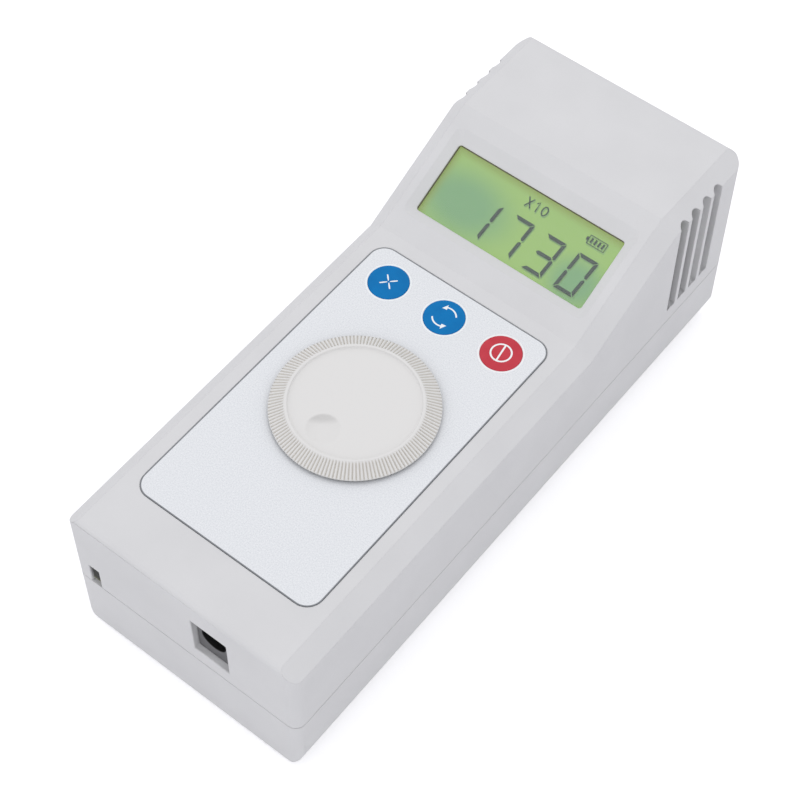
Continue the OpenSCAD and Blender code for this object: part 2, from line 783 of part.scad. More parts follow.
// The flat cable leaves the lower socket towards the head and bends up into
// the upper socket's lower side
module display_ribbon() {
    t = 0.3;
    steps = 12;
    reach = 3.2;
    e = [cos(slope_a), sin(slope_a)];
    n = [-sin(slope_a), cos(slope_a)];
    top = [crease_y, handle_h] + (ribbon_s - ribbon_socket[1] / 2) * e
        + (display_z - board_t - ribbon_socket[2] / 2) * n;
    low = [ribbon_y + ribbon_socket[1] / 2, main_top + ribbon_socket[2] / 2];
    c = [for (k = [0:steps]) let (u = k / steps, v = 1 - u)
        v * v * v * low + 3 * v * v * u * (low + [reach, 0])
            + 3 * v * u * u * (top - reach * e) + u * u * u * top];
    d = [for (k = [0:steps]) unit(c[min(k + 1, steps)] - c[max(k - 1, 0)])];
    left = [for (k = [0:steps]) c[k] + t / 2 * [-d[k][1], d[k][0]]];
    right = [for (k = [steps:-1:0]) c[k] - t / 2 * [-d[k][1], d[k][0]]];
    color(film_colour) translate([ribbon_x, 0, 0]) along_x(ribbon_w) polygon(concat(left, right));
}

module power_board() {
    color(board_colour) translate([0, 0, power_top - board_t]) difference() {
        union() {
            translate([-narrow_w / 2, inner_near_y + 0.5, 0])
                cube([narrow_w, power_far_y - inner_near_y - 0.5, board_t]);
            translate([-wide_w / 2, wide_y, 0]) cube([wide_w, power_far_y - wide_y, board_t]);
        }
        for (p = power_screws) translate([p[0], p[1], -1]) cylinder(d = board_screw_d + 2 * seat_fit, h = 4);
    }
}

module power_board_screws() {
    color(steel_colour) for (p = power_screws)
        translate([p[0], p[1], power_top - board_t]) screw(board_screw_d, board_t + 6, 3.8, 1.4);
}

module board_header() {
    pins = 4;
    color(black_colour) translate([10, power_far_y - 4, power_top]) {
        block([pins * pin_pitch, 2.5, 2.5]);
        for (i = [0:pins - 1])
            translate([(i - (pins - 1) / 2) * pin_pitch, 0, 0]) block([0.64, 0.64, board_gap]);
    }
}

module charger_chip() {
    color(black_colour) translate([-2, main_near_y - 6, power_top]) block([5, 4, 1.6]);
}

module charger_coil() {
    color(grey_colour) translate([-14, main_near_y + 4, power_top]) difference() {
        block([7, 7, 3.6]);
        translate([0, 0, 3]) cylinder(d = 5, h = 2);
    }
}

// Both wires' ends lie on the socket's far side
module battery_socket() {
    x = (battery_wire_x[0] + battery_wire_x[1]) / 2;
    last = battery_route[len(battery_route) - 1];
    color([0.93, 0.92, 0.88]) translate([x, last[1] - 2.4, power_top - board_t - 4.6]) block([7.2, 4.8, 4.6]);
}

module dc_jack_body() {
    front = 3.3;
    color(black_colour) translate([jack_x, jack_face_y, power_top]) difference() {
        union() {
            translate([-jack_w / 2, 0, 0]) cube([jack_w, front, jack_h]);
            translate([-jack_w / 2, 0, 0]) cube([jack_w, jack_l, jack_axis]);
            translate([0, jack_l, jack_axis]) rotate([90, 0, 0])
                cylinder(d = jack_w, h = jack_l - front + bite);
        }
        translate([0, jack_bore_l, jack_axis]) rotate([90, 0, 0])
            cylinder(d = jack_bore_d, h = jack_bore_l + 1);
    }
}

module dc_jack_pin() {
    l = jack_bore_l - jack_tip_gap;
    color(steel_colour) translate([jack_x, jack_face_y + jack_bore_l, jack_z]) rotate([90, 0, 0]) {
        cylinder(d = jack_pin_d, h = l - 0.6);
        translate([0, 0, l - 0.6]) cylinder(d1 = jack_pin_d, d2 = 1, h = 0.6);
    }
}

module dc_jack_contact() {
    w = 2;
    l = jack_bore_l - 3;
    side = sqrt(pow(jack_bore_d / 2, 2) - pow(w / 2, 2)) - run_fit;
    color(steel_colour) translate([jack_x, jack_face_y + jack_bore_l - l / 2, jack_z - side])
        block([w, l, 0.3]);
}

module charge_light() {
    lead_y = jack_face_y + light_l - bite;
    color([0.75, 0.85, 0.35]) {
        translate([light_x - light_w / 2, jack_face_y, light_z - light_h / 2])
            cube([light_w, light_l, light_h]);
        for (z = [light_z - board_t / 2 - lead_t, light_z + board_t / 2])
            translate([light_x - lead_t / 2, lead_y, z]) cube([lead_t, wide_y + lead_grip - lead_y, lead_t]);
    }
}

module battery_cells() {
    color([0.2, 0.45, 0.35]) for (x = [-1, 1])
        translate([x * (pack_x + run_fit), pack_near_y + cell_l, pack_z]) rotate([90, 0, 0]) {
            cylinder(d = cell_d, h = cell_l - 1);
            cylinder(d = cell_d / 3, h = cell_l);
        }
}

// Both cells' outline, grown by g
module pack_form(g, y0, y1) {
    for (x = [-1, 1])
        translate([x * (pack_x + run_fit), y1, pack_z]) rotate([90, 0, 0])
            cylinder(d = cell_d + 2 * g, h = y1 - y0);
    translate([0, (y0 + y1) / 2, pack_z - cell_d / 2 - g])
        block([2 * (pack_x + run_fit), y1 - y0, cell_d + 2 * g]);
}

module battery_sleeve() {
    color([0.1, 0.3, 0.6]) difference() {
        pack_form(sleeve_t, pack_near_y + 1.5, pack_near_y + cell_l - 1.5);
        pack_form(run_fit, pack_near_y, pack_near_y + cell_l);
    }
}

module battery_tape() {
    color([0.9, 0.9, 0.85]) translate([0, pack_near_y + cell_l / 2, wall])
        block([cell_d, cell_l - 12, tape_t]);
}

module battery_foam() {
    color(grey_colour) translate([0, pack_near_y + cell_l / 2, pack_top])
        block([cell_d, 30, main_top - board_t - pack_top]);
}

// A round wire along a route, swept as a tube with eight sides
module wire(route, x) {
    sides = 8;
    p = [for (q = curve(route, 5)) q + [x, 0, 0]];
    last = len(p) - 1;
    t = [for (i = [0:last]) unit(p[min(i + 1, last)] - p[max(i - 1, 0)])];
    u = [for (v = t) unit(cross([0, 0, 1], v))];
    rings = [for (i = [0:last]) for (k = [0:sides - 1]) let (a = 360 * k / sides)
        p[i] + wire_d / 2 * (cos(a) * u[i] + sin(a) * cross(t[i], u[i]))];
    walls = [for (i = [0:last - 1]) for (k = [0:sides - 1])
        let (a = i * sides + k, b = i * sides + (k + 1) % sides) [a, a + sides, b + sides, b]];
    ends = [[for (k = [0:sides - 1]) k], [for (k = [sides - 1:-1:0]) last * sides + k]];
    polyhedron(points = rings, faces = concat(walls, ends));
}

module battery_wire_red() { color([0.75, 0.1, 0.1]) wire(battery_route, battery_wire_x[0]); }
module battery_wire_black() { color(black_colour) wire(battery_route, battery_wire_x[1]); }
module lamp_wire_red() { color([0.75, 0.1, 0.1]) wire(lamp_route, lamp_wire_x[0]); }
module lamp_wire_black() { color(black_colour) wire(lamp_route, lamp_wire_x[1]); }

module lamp_window() {
    color([0.9, 0.95, 1, 0.4]) translate([0, inner_far_y, lamp_z])
        upright_slab(lamp_w + 4, lamp_h + 2.8, 3, lamp_pane_t);
}

// Calls its children at the place of each lamp LED, Z along the beam
module each_led() {
    for (i = [0:led_cols - 1], j = [0:led_rows - 1]) {
        x = (i - (led_cols - 1) / 2) * led_pitch[0];
        z = lamp_z + (j - (led_rows - 1) / 2) * led_pitch[1];
        translate([x, led_face_y, z]) rotate([-90, 0, 0]) children();
    }
}

module reflector() {
    color([0.9, 0.9, 0.92]) difference() {
        translate([0, lamp_front_y, lamp_z]) upright_slab(lamp_w + 3.6, lamp_h + 2.4, 3, reflector_l);
        each_led() translate([0, 0, -0.1])
            cylinder(r1 = led_d / 2 + 0.6, r2 = min(led_pitch) / 2 - 0.15, h = reflector_l + 0.2, $fn = 48);
    }
}

module lamp_leds() {
    color([0.95, 0.95, 0.85]) each_led() {
        cylinder(d = led_d + 0.8, h = 1, $fn = 32);
        cylinder(d = led_d, h = 5, $fn = 32);
        translate([0, 0, 5]) sphere(d = led_d, $fn = 32);
    }
}

module lamp_plate(y, t) {
    difference() {
        translate([-lamp_board_w / 2, y - t, lamp_z - lamp_board_h / 2])
            cube([lamp_board_w, t, lamp_board_h]);
        for (x = [-1, 1], z = [-1, 1])
            translate([x * lamp_screw_x, y + 1, lamp_z + z * lamp_screw_z])
                rotate([90, 0, 0]) cylinder(d = lamp_screw_d + 2 * seat_fit, h = t + 2);
    }
}

module led_board() {
    color([0.92, 0.92, 0.9]) lamp_plate(led_face_y, board_t);
}

module heat_sink() {
    fins = 7;
    fin_t = 1.2;
    reach = lamp_board_h - 9;
    first_z = lamp_z + 1 - reach / 2;
    color(steel_colour) {
        difference() {
            lamp_plate(sink_y, sink_base);
            translate([0, sink_y, lamp_z - lamp_board_h / 2 - 1]) block([20, 3 * sink_base, 5.4]);
        }
        for (i = [0:fins - 1])
            translate([-lamp_w / 2, sink_y - sink_base - fin_l, first_z + i * reach / (fins - 1)])
                cube([lamp_w, fin_l + bite, fin_t]);
    }
}

module lamp_screws() {
    color(steel_colour) for (x = [-1, 1], z = [-1, 1])
        translate([x * lamp_screw_x, sink_y - sink_base, lamp_z + z * lamp_screw_z])
            rotate([-90, 0, 0]) screw(lamp_screw_d, sink_base + board_t + 6.5, 3.6, 1.4);
}

upper_case();
lower_case();
case_screws();
keypad_overlay();
key_multiplier();
key_phase();
key_power();
plunger_multiplier();
plunger_phase();
plunger_power();
switch_housings();
knob();
encoder_shaft();
encoder_bushing();
encoder_housing();
main_board();
main_board_screws();
microcontroller();
crystal();
buffer_capacitors();
lamp_driver();
lamp_socket();
display_window();
lcd_glass();
lcd_pins();
lcd_backlight();
display_board();
display_board_screws();
ribbon_sockets();
display_ribbon();
power_board();
power_board_screws();
board_header();
charger_chip();
charger_coil();
battery_socket();
dc_jack_body();
dc_jack_pin();
dc_jack_contact();
charge_light();
battery_cells();
battery_sleeve();
battery_tape();
battery_foam();
battery_wire_red();
battery_wire_black();
lamp_window();
reflector();
lamp_leds();
led_board();
heat_sink();
lamp_screws();
lamp_wire_red();
lamp_wire_black();
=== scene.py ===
"""Looks of a handheld flash speed tester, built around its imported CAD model.

Lengths are metres in the model's own frame: the socket end points to -Y, the
lamp end to +Y and Z is up. They are written as millimetres times mm.
"""
import math

import bmesh
import bpy
import numpy as np
from mathutils import Matrix, Vector
from mathutils.bvhtree import BVHTree


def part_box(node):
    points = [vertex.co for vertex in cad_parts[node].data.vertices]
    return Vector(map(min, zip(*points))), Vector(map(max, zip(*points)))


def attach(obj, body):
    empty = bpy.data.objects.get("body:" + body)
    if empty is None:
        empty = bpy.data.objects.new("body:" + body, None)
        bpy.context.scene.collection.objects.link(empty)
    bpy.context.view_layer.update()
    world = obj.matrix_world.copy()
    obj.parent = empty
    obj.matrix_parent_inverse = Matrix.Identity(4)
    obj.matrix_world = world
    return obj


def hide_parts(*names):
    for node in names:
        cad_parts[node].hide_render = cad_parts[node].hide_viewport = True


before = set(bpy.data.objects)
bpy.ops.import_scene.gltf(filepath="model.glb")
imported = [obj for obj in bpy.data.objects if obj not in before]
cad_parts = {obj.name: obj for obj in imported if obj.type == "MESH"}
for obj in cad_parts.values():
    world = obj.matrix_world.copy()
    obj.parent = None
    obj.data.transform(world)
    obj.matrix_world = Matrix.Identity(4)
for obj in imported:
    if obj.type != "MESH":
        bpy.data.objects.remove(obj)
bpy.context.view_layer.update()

# Camera
# A long lens looks down on the handle from its socket end, a little to the
# right. The frame is square and the object fills it from corner to corner.
mm = 0.001
azimuth, elevation, roll = (math.radians(a) for a in (38.08, 55.67, 0.36))
aim = Vector((0, -24, 42.5)) * mm
aim_in_view = Vector((-11.04, -3.544, -436.512)) * mm
focal_in_pixels, frame_pixels, sensor_in_mm = 2054.95, 800, 36
nearest_seen, farthest_seen = 0.01, 20

back = Vector((math.sin(azimuth) * math.cos(elevation),
               -math.cos(azimuth) * math.cos(elevation), math.sin(elevation)))
level = (-back).cross(Vector((0, 0, 1))).normalized()
rise = level.cross(-back)
view_x = level * math.cos(roll) + rise * math.sin(roll)
view_y = rise * math.cos(roll) - level * math.sin(roll)
turn = Matrix((view_x, view_y, back)).transposed()

camera = bpy.data.objects.new("camera", bpy.data.cameras.new("camera"))
camera.data.sensor_width = sensor_in_mm
camera.data.lens = sensor_in_mm * focal_in_pixels / frame_pixels
camera.data.clip_start, camera.data.clip_end = nearest_seen, farthest_seen
camera.matrix_world = Matrix.Translation(aim - turn @ aim_in_view) @ turn.to_4x4()
bpy.context.scene.collection.objects.link(camera)
bpy.context.scene.camera = camera

# Light
# Plain studio light: an even white surround and three large soft lamps, high
# behind, on the left and in front. A level surface shows about as it is coloured.
scene = bpy.context.scene
scene.view_settings.view_transform = "Standard"
surround_strength = 0.94
object_middle = Vector((0, 0, 0.03))


def linear(code):
    """sRGB hex to linear RGBA: a straight line below 0.04045, a power of 2.4 above it."""
    v = np.array([int(code[i:i + 2], 16) for i in (1, 3, 5)]) / 255
    v = np.where(v <= 0.04045, v / 12.92, ((v + 0.055) / 1.055) ** 2.4)
    return (*v.tolist(), 1.0)


def add(tree, kind, values=(), links=()):
    """Adds a shader node, sets its options and plain sockets, and links other nodes' outputs to it."""
    made = tree.nodes.new("ShaderNode" + kind)
    for key, value in dict(values).items():
        if isinstance(key, str) and key in made.bl_rna.properties:
            setattr(made, key, value)
        else:
            made.inputs[key].default_value = value
    for key, source in dict(links).items():
        end = source if isinstance(source, bpy.types.NodeSocket) else source.outputs[0]
        tree.links.new(end, made.inputs[key])
    return made


world = bpy.data.worlds.new("studio")
world.use_nodes = True
scene.world = world
sky = world.node_tree
sky.nodes.clear()
ray = add(sky, "LightPath")
mirrored = add(sky, "Math", {"operation": "MAXIMUM"},
               {0: ray.outputs["Is Glossy Ray"], 1: ray.outputs["Is Transmission Ray"]})
seen = add(sky, "Math", {"operation": "MAXIMUM"}, {0: ray.outputs["Is Camera Ray"], 1: mirrored})
fill = add(sky, "Background", {"Color": linear("#fcfcff"), "Strength": surround_strength})
white = add(sky, "Background", {"Color": linear("#ffffff"), "Strength": 1.0})
blend = add(sky, "MixShader", {}, {0: seen, 1: fill, 2: white})
add(sky, "OutputWorld", {}, {"Surface": blend})


def softbox(name, place, size, watts, tint):
    """A square area lamp at place that looks at the middle of the object."""
    lamp = bpy.data.lights.new(name, "AREA")
    lamp.size, lamp.energy, lamp.color = size, watts, linear(tint)[:3]
    obj = bpy.data.objects.new(name, lamp)
    facing = (object_middle - place).to_track_quat("-Z", "Y").to_matrix().to_4x4()
    obj.matrix_world = Matrix.Translation(place) @ facing
    scene.collection.objects.link(obj)


softbox("softbox_high", Vector((-0.3, 0.45, 0.95)), 0.8, 0.7, "#fffdfa")
softbox("softbox_left", Vector((-0.95, -0.1, 0.55)), 0.7, 0.2, "#ffffff")
softbox("softbox_front", Vector((0.15, -1.0, 0.3)), 0.7, 0.6, "#ffffff")

# Floor
# A matt white table top. It shows to the camera as plain white where the light
# is full, and keeps the object's soft shadow.
half_floor = 3.0
floor_glow = 0.42


def material(name, colour, roughness, metallic=0.0, ior=1.5):
    """A Principled material with its constants on the shader.

    Returns the material, its node tree, its shader and its Object coordinates.
    """
    made = bpy.data.materials.new(name)
    made.use_nodes = True
    tree = made.node_tree
    shader = tree.nodes["Principled BSDF"]
    shader.inputs["Base Color"].default_value = linear(colour)
    shader.inputs["Roughness"].default_value = roughness
    shader.inputs["Metallic"].default_value = metallic
    shader.inputs["IOR"].default_value = ior
    made.diffuse_color = linear(colour)
    return made, tree, shader, add(tree, "TexCoord").outputs["Object"]


def mesh_piece(name, points, faces, finish, body="case", smooth=True):
    """Puts arrays of points (metres) and of faces into a mesh that rides on a body."""
    mesh = bpy.data.meshes.new(name)
    rows = np.asarray(points, float).reshape(-1, 3).tolist()
    mesh.from_pydata(rows, [], [list(map(int, face)) for face in faces])
    mesh.materials.append(finish)
    mesh.update()
    if smooth:
        mesh.shade_smooth()
    obj = bpy.data.objects.new(name, mesh)
    scene.collection.objects.link(obj)
    if body:
        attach(obj, body)
    return obj


floor_finish, tree, shader, place = material("matt_table_top", "#e6e6e8", 0.85)
lit = add(tree, "LightPath")
camera_sees = add(tree, "Math", {"operation": "MAXIMUM"},
                  {0: lit.outputs["Is Camera Ray"], 1: lit.outputs["Is Transmission Ray"]})
glow_amount = add(tree, "Math", {"operation": "MULTIPLY", 1: floor_glow}, {0: camera_sees})
glow = add(tree, "Emission", {"Color": linear("#ffffff")}, {"Strength": glow_amount})
together = add(tree, "AddShader", {}, {0: shader, 1: glow})
tree.links.new(together.outputs[0], tree.nodes["Material Output"].inputs["Surface"])
floor_corners = [(x * half_floor, y * half_floor, 0) for x, y in ((-1, -1), (1, -1), (1, 1), (-1, 1))]
floor = mesh_piece("floor", floor_corners, [(0, 1, 2, 3)], floor_finish, body=None, smooth=False)

# Case shells
# Two shells of pale ABS, injection moulded with a finely sparked surface. They
# meet at a plain parting line, and their outer edges have a small mould radius.
shell_edge = 0.3 * mm
parting_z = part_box("upper_case")[0].z
parting_gap = 0.2 * mm


def grain(tree, shader, place, size, depth, tones=None, gloss=None, tone_size=None):
    """Moulded or cast grain: noise of that size lifts the surface by that depth.

    It may also move the roughness between the two values of gloss, and a second noise of the tone size
    may move the colour between the two tones.
    """
    fine = add(tree, "TexNoise", {"Scale": 1 / size, "Detail": 3.0, "Roughness": 0.6}, {"Vector": place})
    lift = add(tree, "Bump", {"Strength": 1.0, "Distance": depth}, {"Height": fine.outputs["Fac"]})
    tree.links.new(lift.outputs["Normal"], shader.inputs["Normal"])
    if tones:
        wide = add(tree, "TexNoise", {"Scale": 1 / (tone_size or size), "Detail": 4.0},
                   {"Vector": place})
        share = add(tree, "MapRange", {"From Min": 0.3, "From Max": 0.7}, {"Value": wide.outputs["Fac"]})
        toned = add(tree, "Mix", {"data_type": "RGBA", 6: linear(tones[0]), 7: linear(tones[1])},
                    {0: share})
        tree.links.new(toned.outputs[2], shader.inputs["Base Color"])
    if gloss:
        varied = add(tree, "MapRange", {"To Min": gloss[0], "To Max": gloss[1]},
                     {"Value": fine.outputs["Fac"]})
        tree.links.new(varied.outputs[0], shader.inputs["Roughness"])
    return lift


def at_parting(point):
    """Whether a point lies on the parting face, within 0.01 mm."""
    return abs(point.z - parting_z) < 0.01 * mm


def outward_edges(work):
    """The edges to round: long and sharp enough, off the parting face, with nothing in front of them.

    A ray that starts a little outside the middle of the edge, in the mean direction of its two faces,
    hits nothing.
    """
    shortest, bluntest, clearance = 0.7 * mm, math.radians(60), 0.05 * mm
    skin = BVHTree.FromBMesh(work)
    found = set()
    for edge in work.edges:
        outward = edge.link_faces[0].normal + edge.link_faces[1].normal
        middle = (edge.verts[0].co + edge.verts[1].co) / 2
        if edge.calc_length() < shortest or edge.calc_face_angle() <= bluntest or at_parting(middle):
            continue
        if skin.ray_cast(middle + outward.normalized() * clearance, outward)[0] is None:
            found.add(edge)
    return found


def radius_share(edge, rounded, width):
    """The share of the width by which an edge can be rounded, so that the rounding stays on its faces.

    It uses up at most a third of its narrower face, and doesn't run past the far end of a neighbouring
    edge. The rounding's line reaches a plain neighbour at the width divided by the sine of the corner,
    and a rounded one at the width divided by the tangent of half of it.
    """
    of_face, of_rounded, of_plain = 0.33, 0.45, 0.85
    limits = [width]
    for loop in edge.link_loops:
        limits.append(of_face * loop.face.calc_area() / edge.calc_length())
        ahead = loop.link_loop_next
        for corner, beside in ((loop, loop.link_loop_prev.edge), (ahead, ahead.edge)):
            if beside in rounded:
                shorter = min(edge.calc_length(), beside.calc_length())
                limits.append(of_rounded * shorter * math.tan(corner.calc_angle() / 2))
            else:
                limits.append(of_plain * beside.calc_length() * math.sin(corner.calc_angle()))
    return max(0, min(limits)) / width


def edged_copy(node, finish, width, lift):
    """A merged copy of a CAD node, with flat faces as single polygons and outward edges rounded.

    They are rounded by the width, and a width of 0 leaves every edge as the CAD has it. The parting face
    moves up by the lift. Shading runs smoothly over rounded edges and over corners below 19 degrees.
    """
    weld, flat_corner, smooth_corner = 1e-6, math.radians(0.5), math.radians(19)
    work = bmesh.new()
    work.from_mesh(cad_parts[node].data)
    bmesh.ops.remove_doubles(work, verts=work.verts, dist=weld)
    bmesh.ops.dissolve_limit(work, angle_limit=flat_corner, verts=work.verts, edges=work.edges)
    share = work.edges.layers.float.new("bevel_weight_edge")
    rounded = outward_edges(work) if width else set()
    for edge in rounded:
        edge[share] = radius_share(edge, rounded, width)
    for edge in work.edges:
        edge.smooth = edge[share] > 0 or edge.calc_face_angle() < smooth_corner
    for vert in work.verts:
        if at_parting(vert.co):
            vert.co.z += lift
    for face in work.faces:
        face.smooth = True
    mesh = bpy.data.meshes.new(node + "_finished")
    work.to_mesh(mesh)
    work.free()
    mesh.materials.clear()
    mesh.materials.append(finish)
    obj = bpy.data.objects.new(node + "_finished", mesh)
    scene.collection.objects.link(obj)
    if width:
        bevel = obj.modifiers.new("mould_radius", "BEVEL")
        bevel.width, bevel.segments = width, 3
        bevel.limit_method, bevel.use_clamp_overlap = "WEIGHT", False
    even = obj.modifiers.new("flat_faces", "WEIGHTED_NORMAL")
    even.weight, even.keep_sharp = 100, True
    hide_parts(node)
    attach(obj, "case")
    return obj


# A spark-eroded mould leaves an even, dull grain, drawn 0.35 mm wide so that it shows
abs_case, tree, shader, place = material("pale_grey_abs_sparked", "#d7d7d8", 0.42, ior=1.53)
lift = grain(tree, shader, place, 0.35 * mm, 0.004 * mm, ("#d5d5d6", "#d9d9da"), (0.36, 0.5), 14 * mm)
# Edges that aren't rounded keep their CAD shape, and have their mould radius in the shading
add_radius = add(tree, "Bevel", {"Radius": shell_edge})
tree.links.new(add_radius.outputs[0], lift.inputs["Normal"])
upper = edged_copy("upper_case", abs_case, shell_edge, parting_gap)
lower = edged_copy("lower_case", abs_case, 0, 0)

# Screws
# Zinc-plated steel screws: four hold the shells together from below, the small
# ones hold the boards. Plating leaves a fine blotchy sheen.


def finish_node(names, finish):
    """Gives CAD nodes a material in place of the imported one."""
    for name in names:
        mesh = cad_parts[name].data
        mesh.materials.clear()
        mesh.materials.append(finish)


def grained(name, colour, roughness, size, depth, tones=None, gloss=None, tone_size=None, **solid):
    """A material that needs nothing but its grain. solid may give its metallic and ior."""
    made, tree, shader, place = material(name, colour, roughness, **solid)
    grain(tree, shader, place, size, depth, tones, gloss, tone_size)
    return made


zinc_steel = grained("zinc_plated_steel", "#b9bcc0", 0.3, 0.25 * mm, 0.003 * mm,
                     ("#aeb2b8", "#c6c8c8"), (0.24, 0.4), 1.2 * mm, metallic=1.0)
finish_node(("case_screws", "main_board_screws", "display_board_screws", "power_board_screws",
             "lamp_screws"), zinc_steel)

# Overlay
# A silver-white polycarbonate film, printed from behind and glued into its
# recess. A thin grey line is printed round its edge; the rest is left bare.
film_low, film_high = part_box("keypad_overlay")
film_middle = (film_low + film_high) / 2
film_half = (film_high - film_low) / 2
film_corner = 3.9 * mm
film_line = 0.26 * mm

film, tree, shader, place = material("silver_polycarbonate_film", "#e3e6eb", 0.38, ior=1.58)
grain(tree, shader, place, 0.22 * mm, 0.002 * mm)
# Metal flakes in the ink, drawn 0.3 mm wide so that they show
speck = add(tree, "TexNoise", {"Scale": 1 / (0.3 * mm), "Detail": 2.0, "Roughness": 0.8},
            {"Vector": place})
sparkle = add(tree, "ValToRGB", {}, {"Fac": speck.outputs["Fac"]})
flakes = sparkle.color_ramp.elements
flakes[0].position, flakes[0].color = 0.3, linear("#d6d9dd")
flakes[1].position, flakes[1].color = 0.68, linear("#eef0f2")
# The line: how far a point lies past the corner circle's middle, after folding the film in four
middle = add(tree, "VectorMath", {"operation": "SUBTRACT", 1: film_middle}, {0: place})
folded = add(tree, "VectorMath", {"operation": "ABSOLUTE"}, {0: middle})
inner_half = film_half - Vector((film_corner, film_corner, 0))
past_corner = add(tree, "VectorMath", {"operation": "SUBTRACT", 1: inner_half}, {0: folded})
clipped = add(tree, "VectorMath", {"operation": "MAXIMUM", 1: (0, 0, 0)}, {0: past_corner})
flat = add(tree, "VectorMath", {"operation": "MULTIPLY", 1: (1, 1, 0)}, {0: clipped})
reach = add(tree, "VectorMath", {"operation": "LENGTH"}, {0: flat})
on_line = add(tree, "Math", {"operation": "GREATER_THAN", 1: film_corner - film_line},
              {0: reach.outputs["Value"]})
printed = add(tree, "Mix", {"data_type": "RGBA", 7: linear("#7d8085")}, {0: on_line, 6: sparkle})
tree.links.new(printed.outputs[2], shader.inputs["Base Color"])
finish_node(["keypad_overlay"], film)

# Keys
# Three round membrane keys of polycarbonate film, domed a little and printed
# blue or red, with a white symbol each. A thin white rim of unprinted film
# shows round each.
key_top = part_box("key_phase")[1].z
key_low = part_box("key_phase")[0].z
key_radius, key_edge, key_crown = 4.7 * mm, 0.22 * mm, 0.08 * mm
flat_radius = key_radius - key_edge
key_columns = 72
ink_lift = 0.008 * mm
key_places = {}
for key in ("key_multiplier", "key_phase", "key_power"):
    low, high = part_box(key)
    key_places[key] = (low + high) / 2


def grid_faces(rows, columns, closed=True):
    """Quads of a grid with that many rows and columns; closed joins the last column to the first."""
    across = np.arange(columns if closed else columns - 1)
    r, c = np.meshgrid(np.arange(rows - 1), across, indexing="ij")
    n = (c + 1) % columns
    corners = [r * columns + c, r * columns + n, (r + 1) * columns + n, (r + 1) * columns + c]
    return np.stack(corners, -1).reshape(-1, 4)


def turned(radii, heights, centre, count):
    """A profile turned about an upright axis: (r cos a, r sin a, h) from the centre, for each angle a."""
    a = np.linspace(0, 2 * np.pi, count, endpoint=False)
    r, h = np.asarray(radii)[:, None], np.asarray(heights)[:, None]
    return np.stack([centre[0] + r * np.cos(a), centre[1] + r * np.sin(a), h + 0 * a], -1)


def close_seams(obj, doubles=1e-7):
    """Merges the points of poles and seams and turns the faces outwards."""
    work = bmesh.new()
    work.from_mesh(obj.data)
    bmesh.ops.remove_doubles(work, verts=work.verts, dist=doubles)
    bmesh.ops.dissolve_degenerate(work, edges=work.edges, dist=doubles)
    bmesh.ops.recalc_face_normals(work, faces=work.faces)
    work.to_mesh(obj.data)
    work.free()


def key_dome(name, centre, finish):
    """A disc whose top falls from the crown by the square of the radius, with a quarter-round edge."""
    out = np.linspace(0, flat_radius, 8)
    a = np.linspace(90, 0, 6)[1:] * np.pi / 180
    edge_r = flat_radius + key_edge * np.cos(a)
    edge_h = key_top - key_crown - key_edge + key_edge * np.sin(a)
    dome_h = key_top - key_crown * (out / flat_radius) ** 2
    radii = np.concatenate([out, edge_r, [key_radius, 0]])
    heights = np.concatenate([dome_h, edge_h, [key_low, key_low]])
    points = turned(radii, heights, centre, key_columns)
    obj = mesh_piece(name + "_dome", points, grid_faces(len(radii), key_columns), finish, body=name)
    close_seams(obj)
    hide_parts(name)
    return obj


def ink_ribbon(points, width, closed=False):
    """A flat ribbon: each point of a line moves half the width to both sides of the mean direction."""
    p = np.asarray(points, float)
    ahead = np.roll(p, -1, 0) - p
    behind = p - np.roll(p, 1, 0)
    if not closed:
        ahead[-1], behind[0] = behind[-1], ahead[0]
    ahead /= np.linalg.norm(ahead, axis=1, keepdims=True)
    behind /= np.linalg.norm(behind, axis=1, keepdims=True)
    along = ahead + behind
    along /= np.linalg.norm(along, axis=1, keepdims=True)
    side = np.stack([-along[:, 1], along[:, 0]], 1) * np.broadcast_to(width, len(p))[:, None] / 2
    strip = np.stack([p - side, p + side], 1).reshape(-1, 2)
    i = np.arange(len(p) if closed else len(p) - 1)
    j = (i + 1) % len(p)
    return strip, np.stack([2 * i, 2 * j, 2 * j + 1, 2 * i + 1], 1)


def joined(parts):
    """Several (points, faces) pairs as one pair."""
    starts = np.cumsum([0] + [len(points) for points, _ in parts[:-1]])
    faces = [face + start for (_, own), start in zip(parts, starts) for face in np.asarray(own)]
    return np.concatenate([points for points, _ in parts]), faces


def key_symbol(key, parts, finish):
    """Lays a flat symbol, drawn in mm, on a key's dome, following its crown."""
    flat, faces = joined(parts)
    centre = key_places[key]
    fall = key_crown * (np.linalg.norm(flat, axis=1) * mm / flat_radius) ** 2
    points = np.column_stack([centre.x + flat[:, 0] * mm, centre.y + flat[:, 1] * mm,
                              key_top + ink_lift - fall])
    return mesh_piece(key + "_symbol", points, faces, finish, body=key)


def arc_line(radius, start, end, count):
    """Points of a circle about the origin between two angles in degrees."""
    a = np.radians(np.linspace(start, end, count))
    return np.stack([radius * np.cos(a), radius * np.sin(a)], 1)


def key_film(name, colour, tones):
    """Tinted film over the print: a smooth face with a little orange peel."""
    made, tree, shader, place = material(name, colour, 0.45, ior=1.58)
    shader.inputs["Specular IOR Level"].default_value = 0.1
    grain(tree, shader, place, 0.5 * mm, 0.003 * mm, tones, (0.4, 0.52), 3 * mm)
    return made


blue_film = key_film("blue_printed_film", "#0074b6", ("#0070b2", "#0078bc"))
red_film = key_film("red_printed_film", "#c63f4b", ("#c23b48", "#cb4450"))
# Screen ink dries flat and dull, with a fine tooth from the printing mesh
white_ink = grained("white_screen_ink", "#f4f7f8", 0.5, 0.2 * mm, 0.002 * mm)

for key, finish, slot in (("key_multiplier", blue_film, "key_blue"),
                          ("key_phase", blue_film, "key_blue"), ("key_power", red_film, "key_red")):
    key_dome(key, key_places[key], finish)

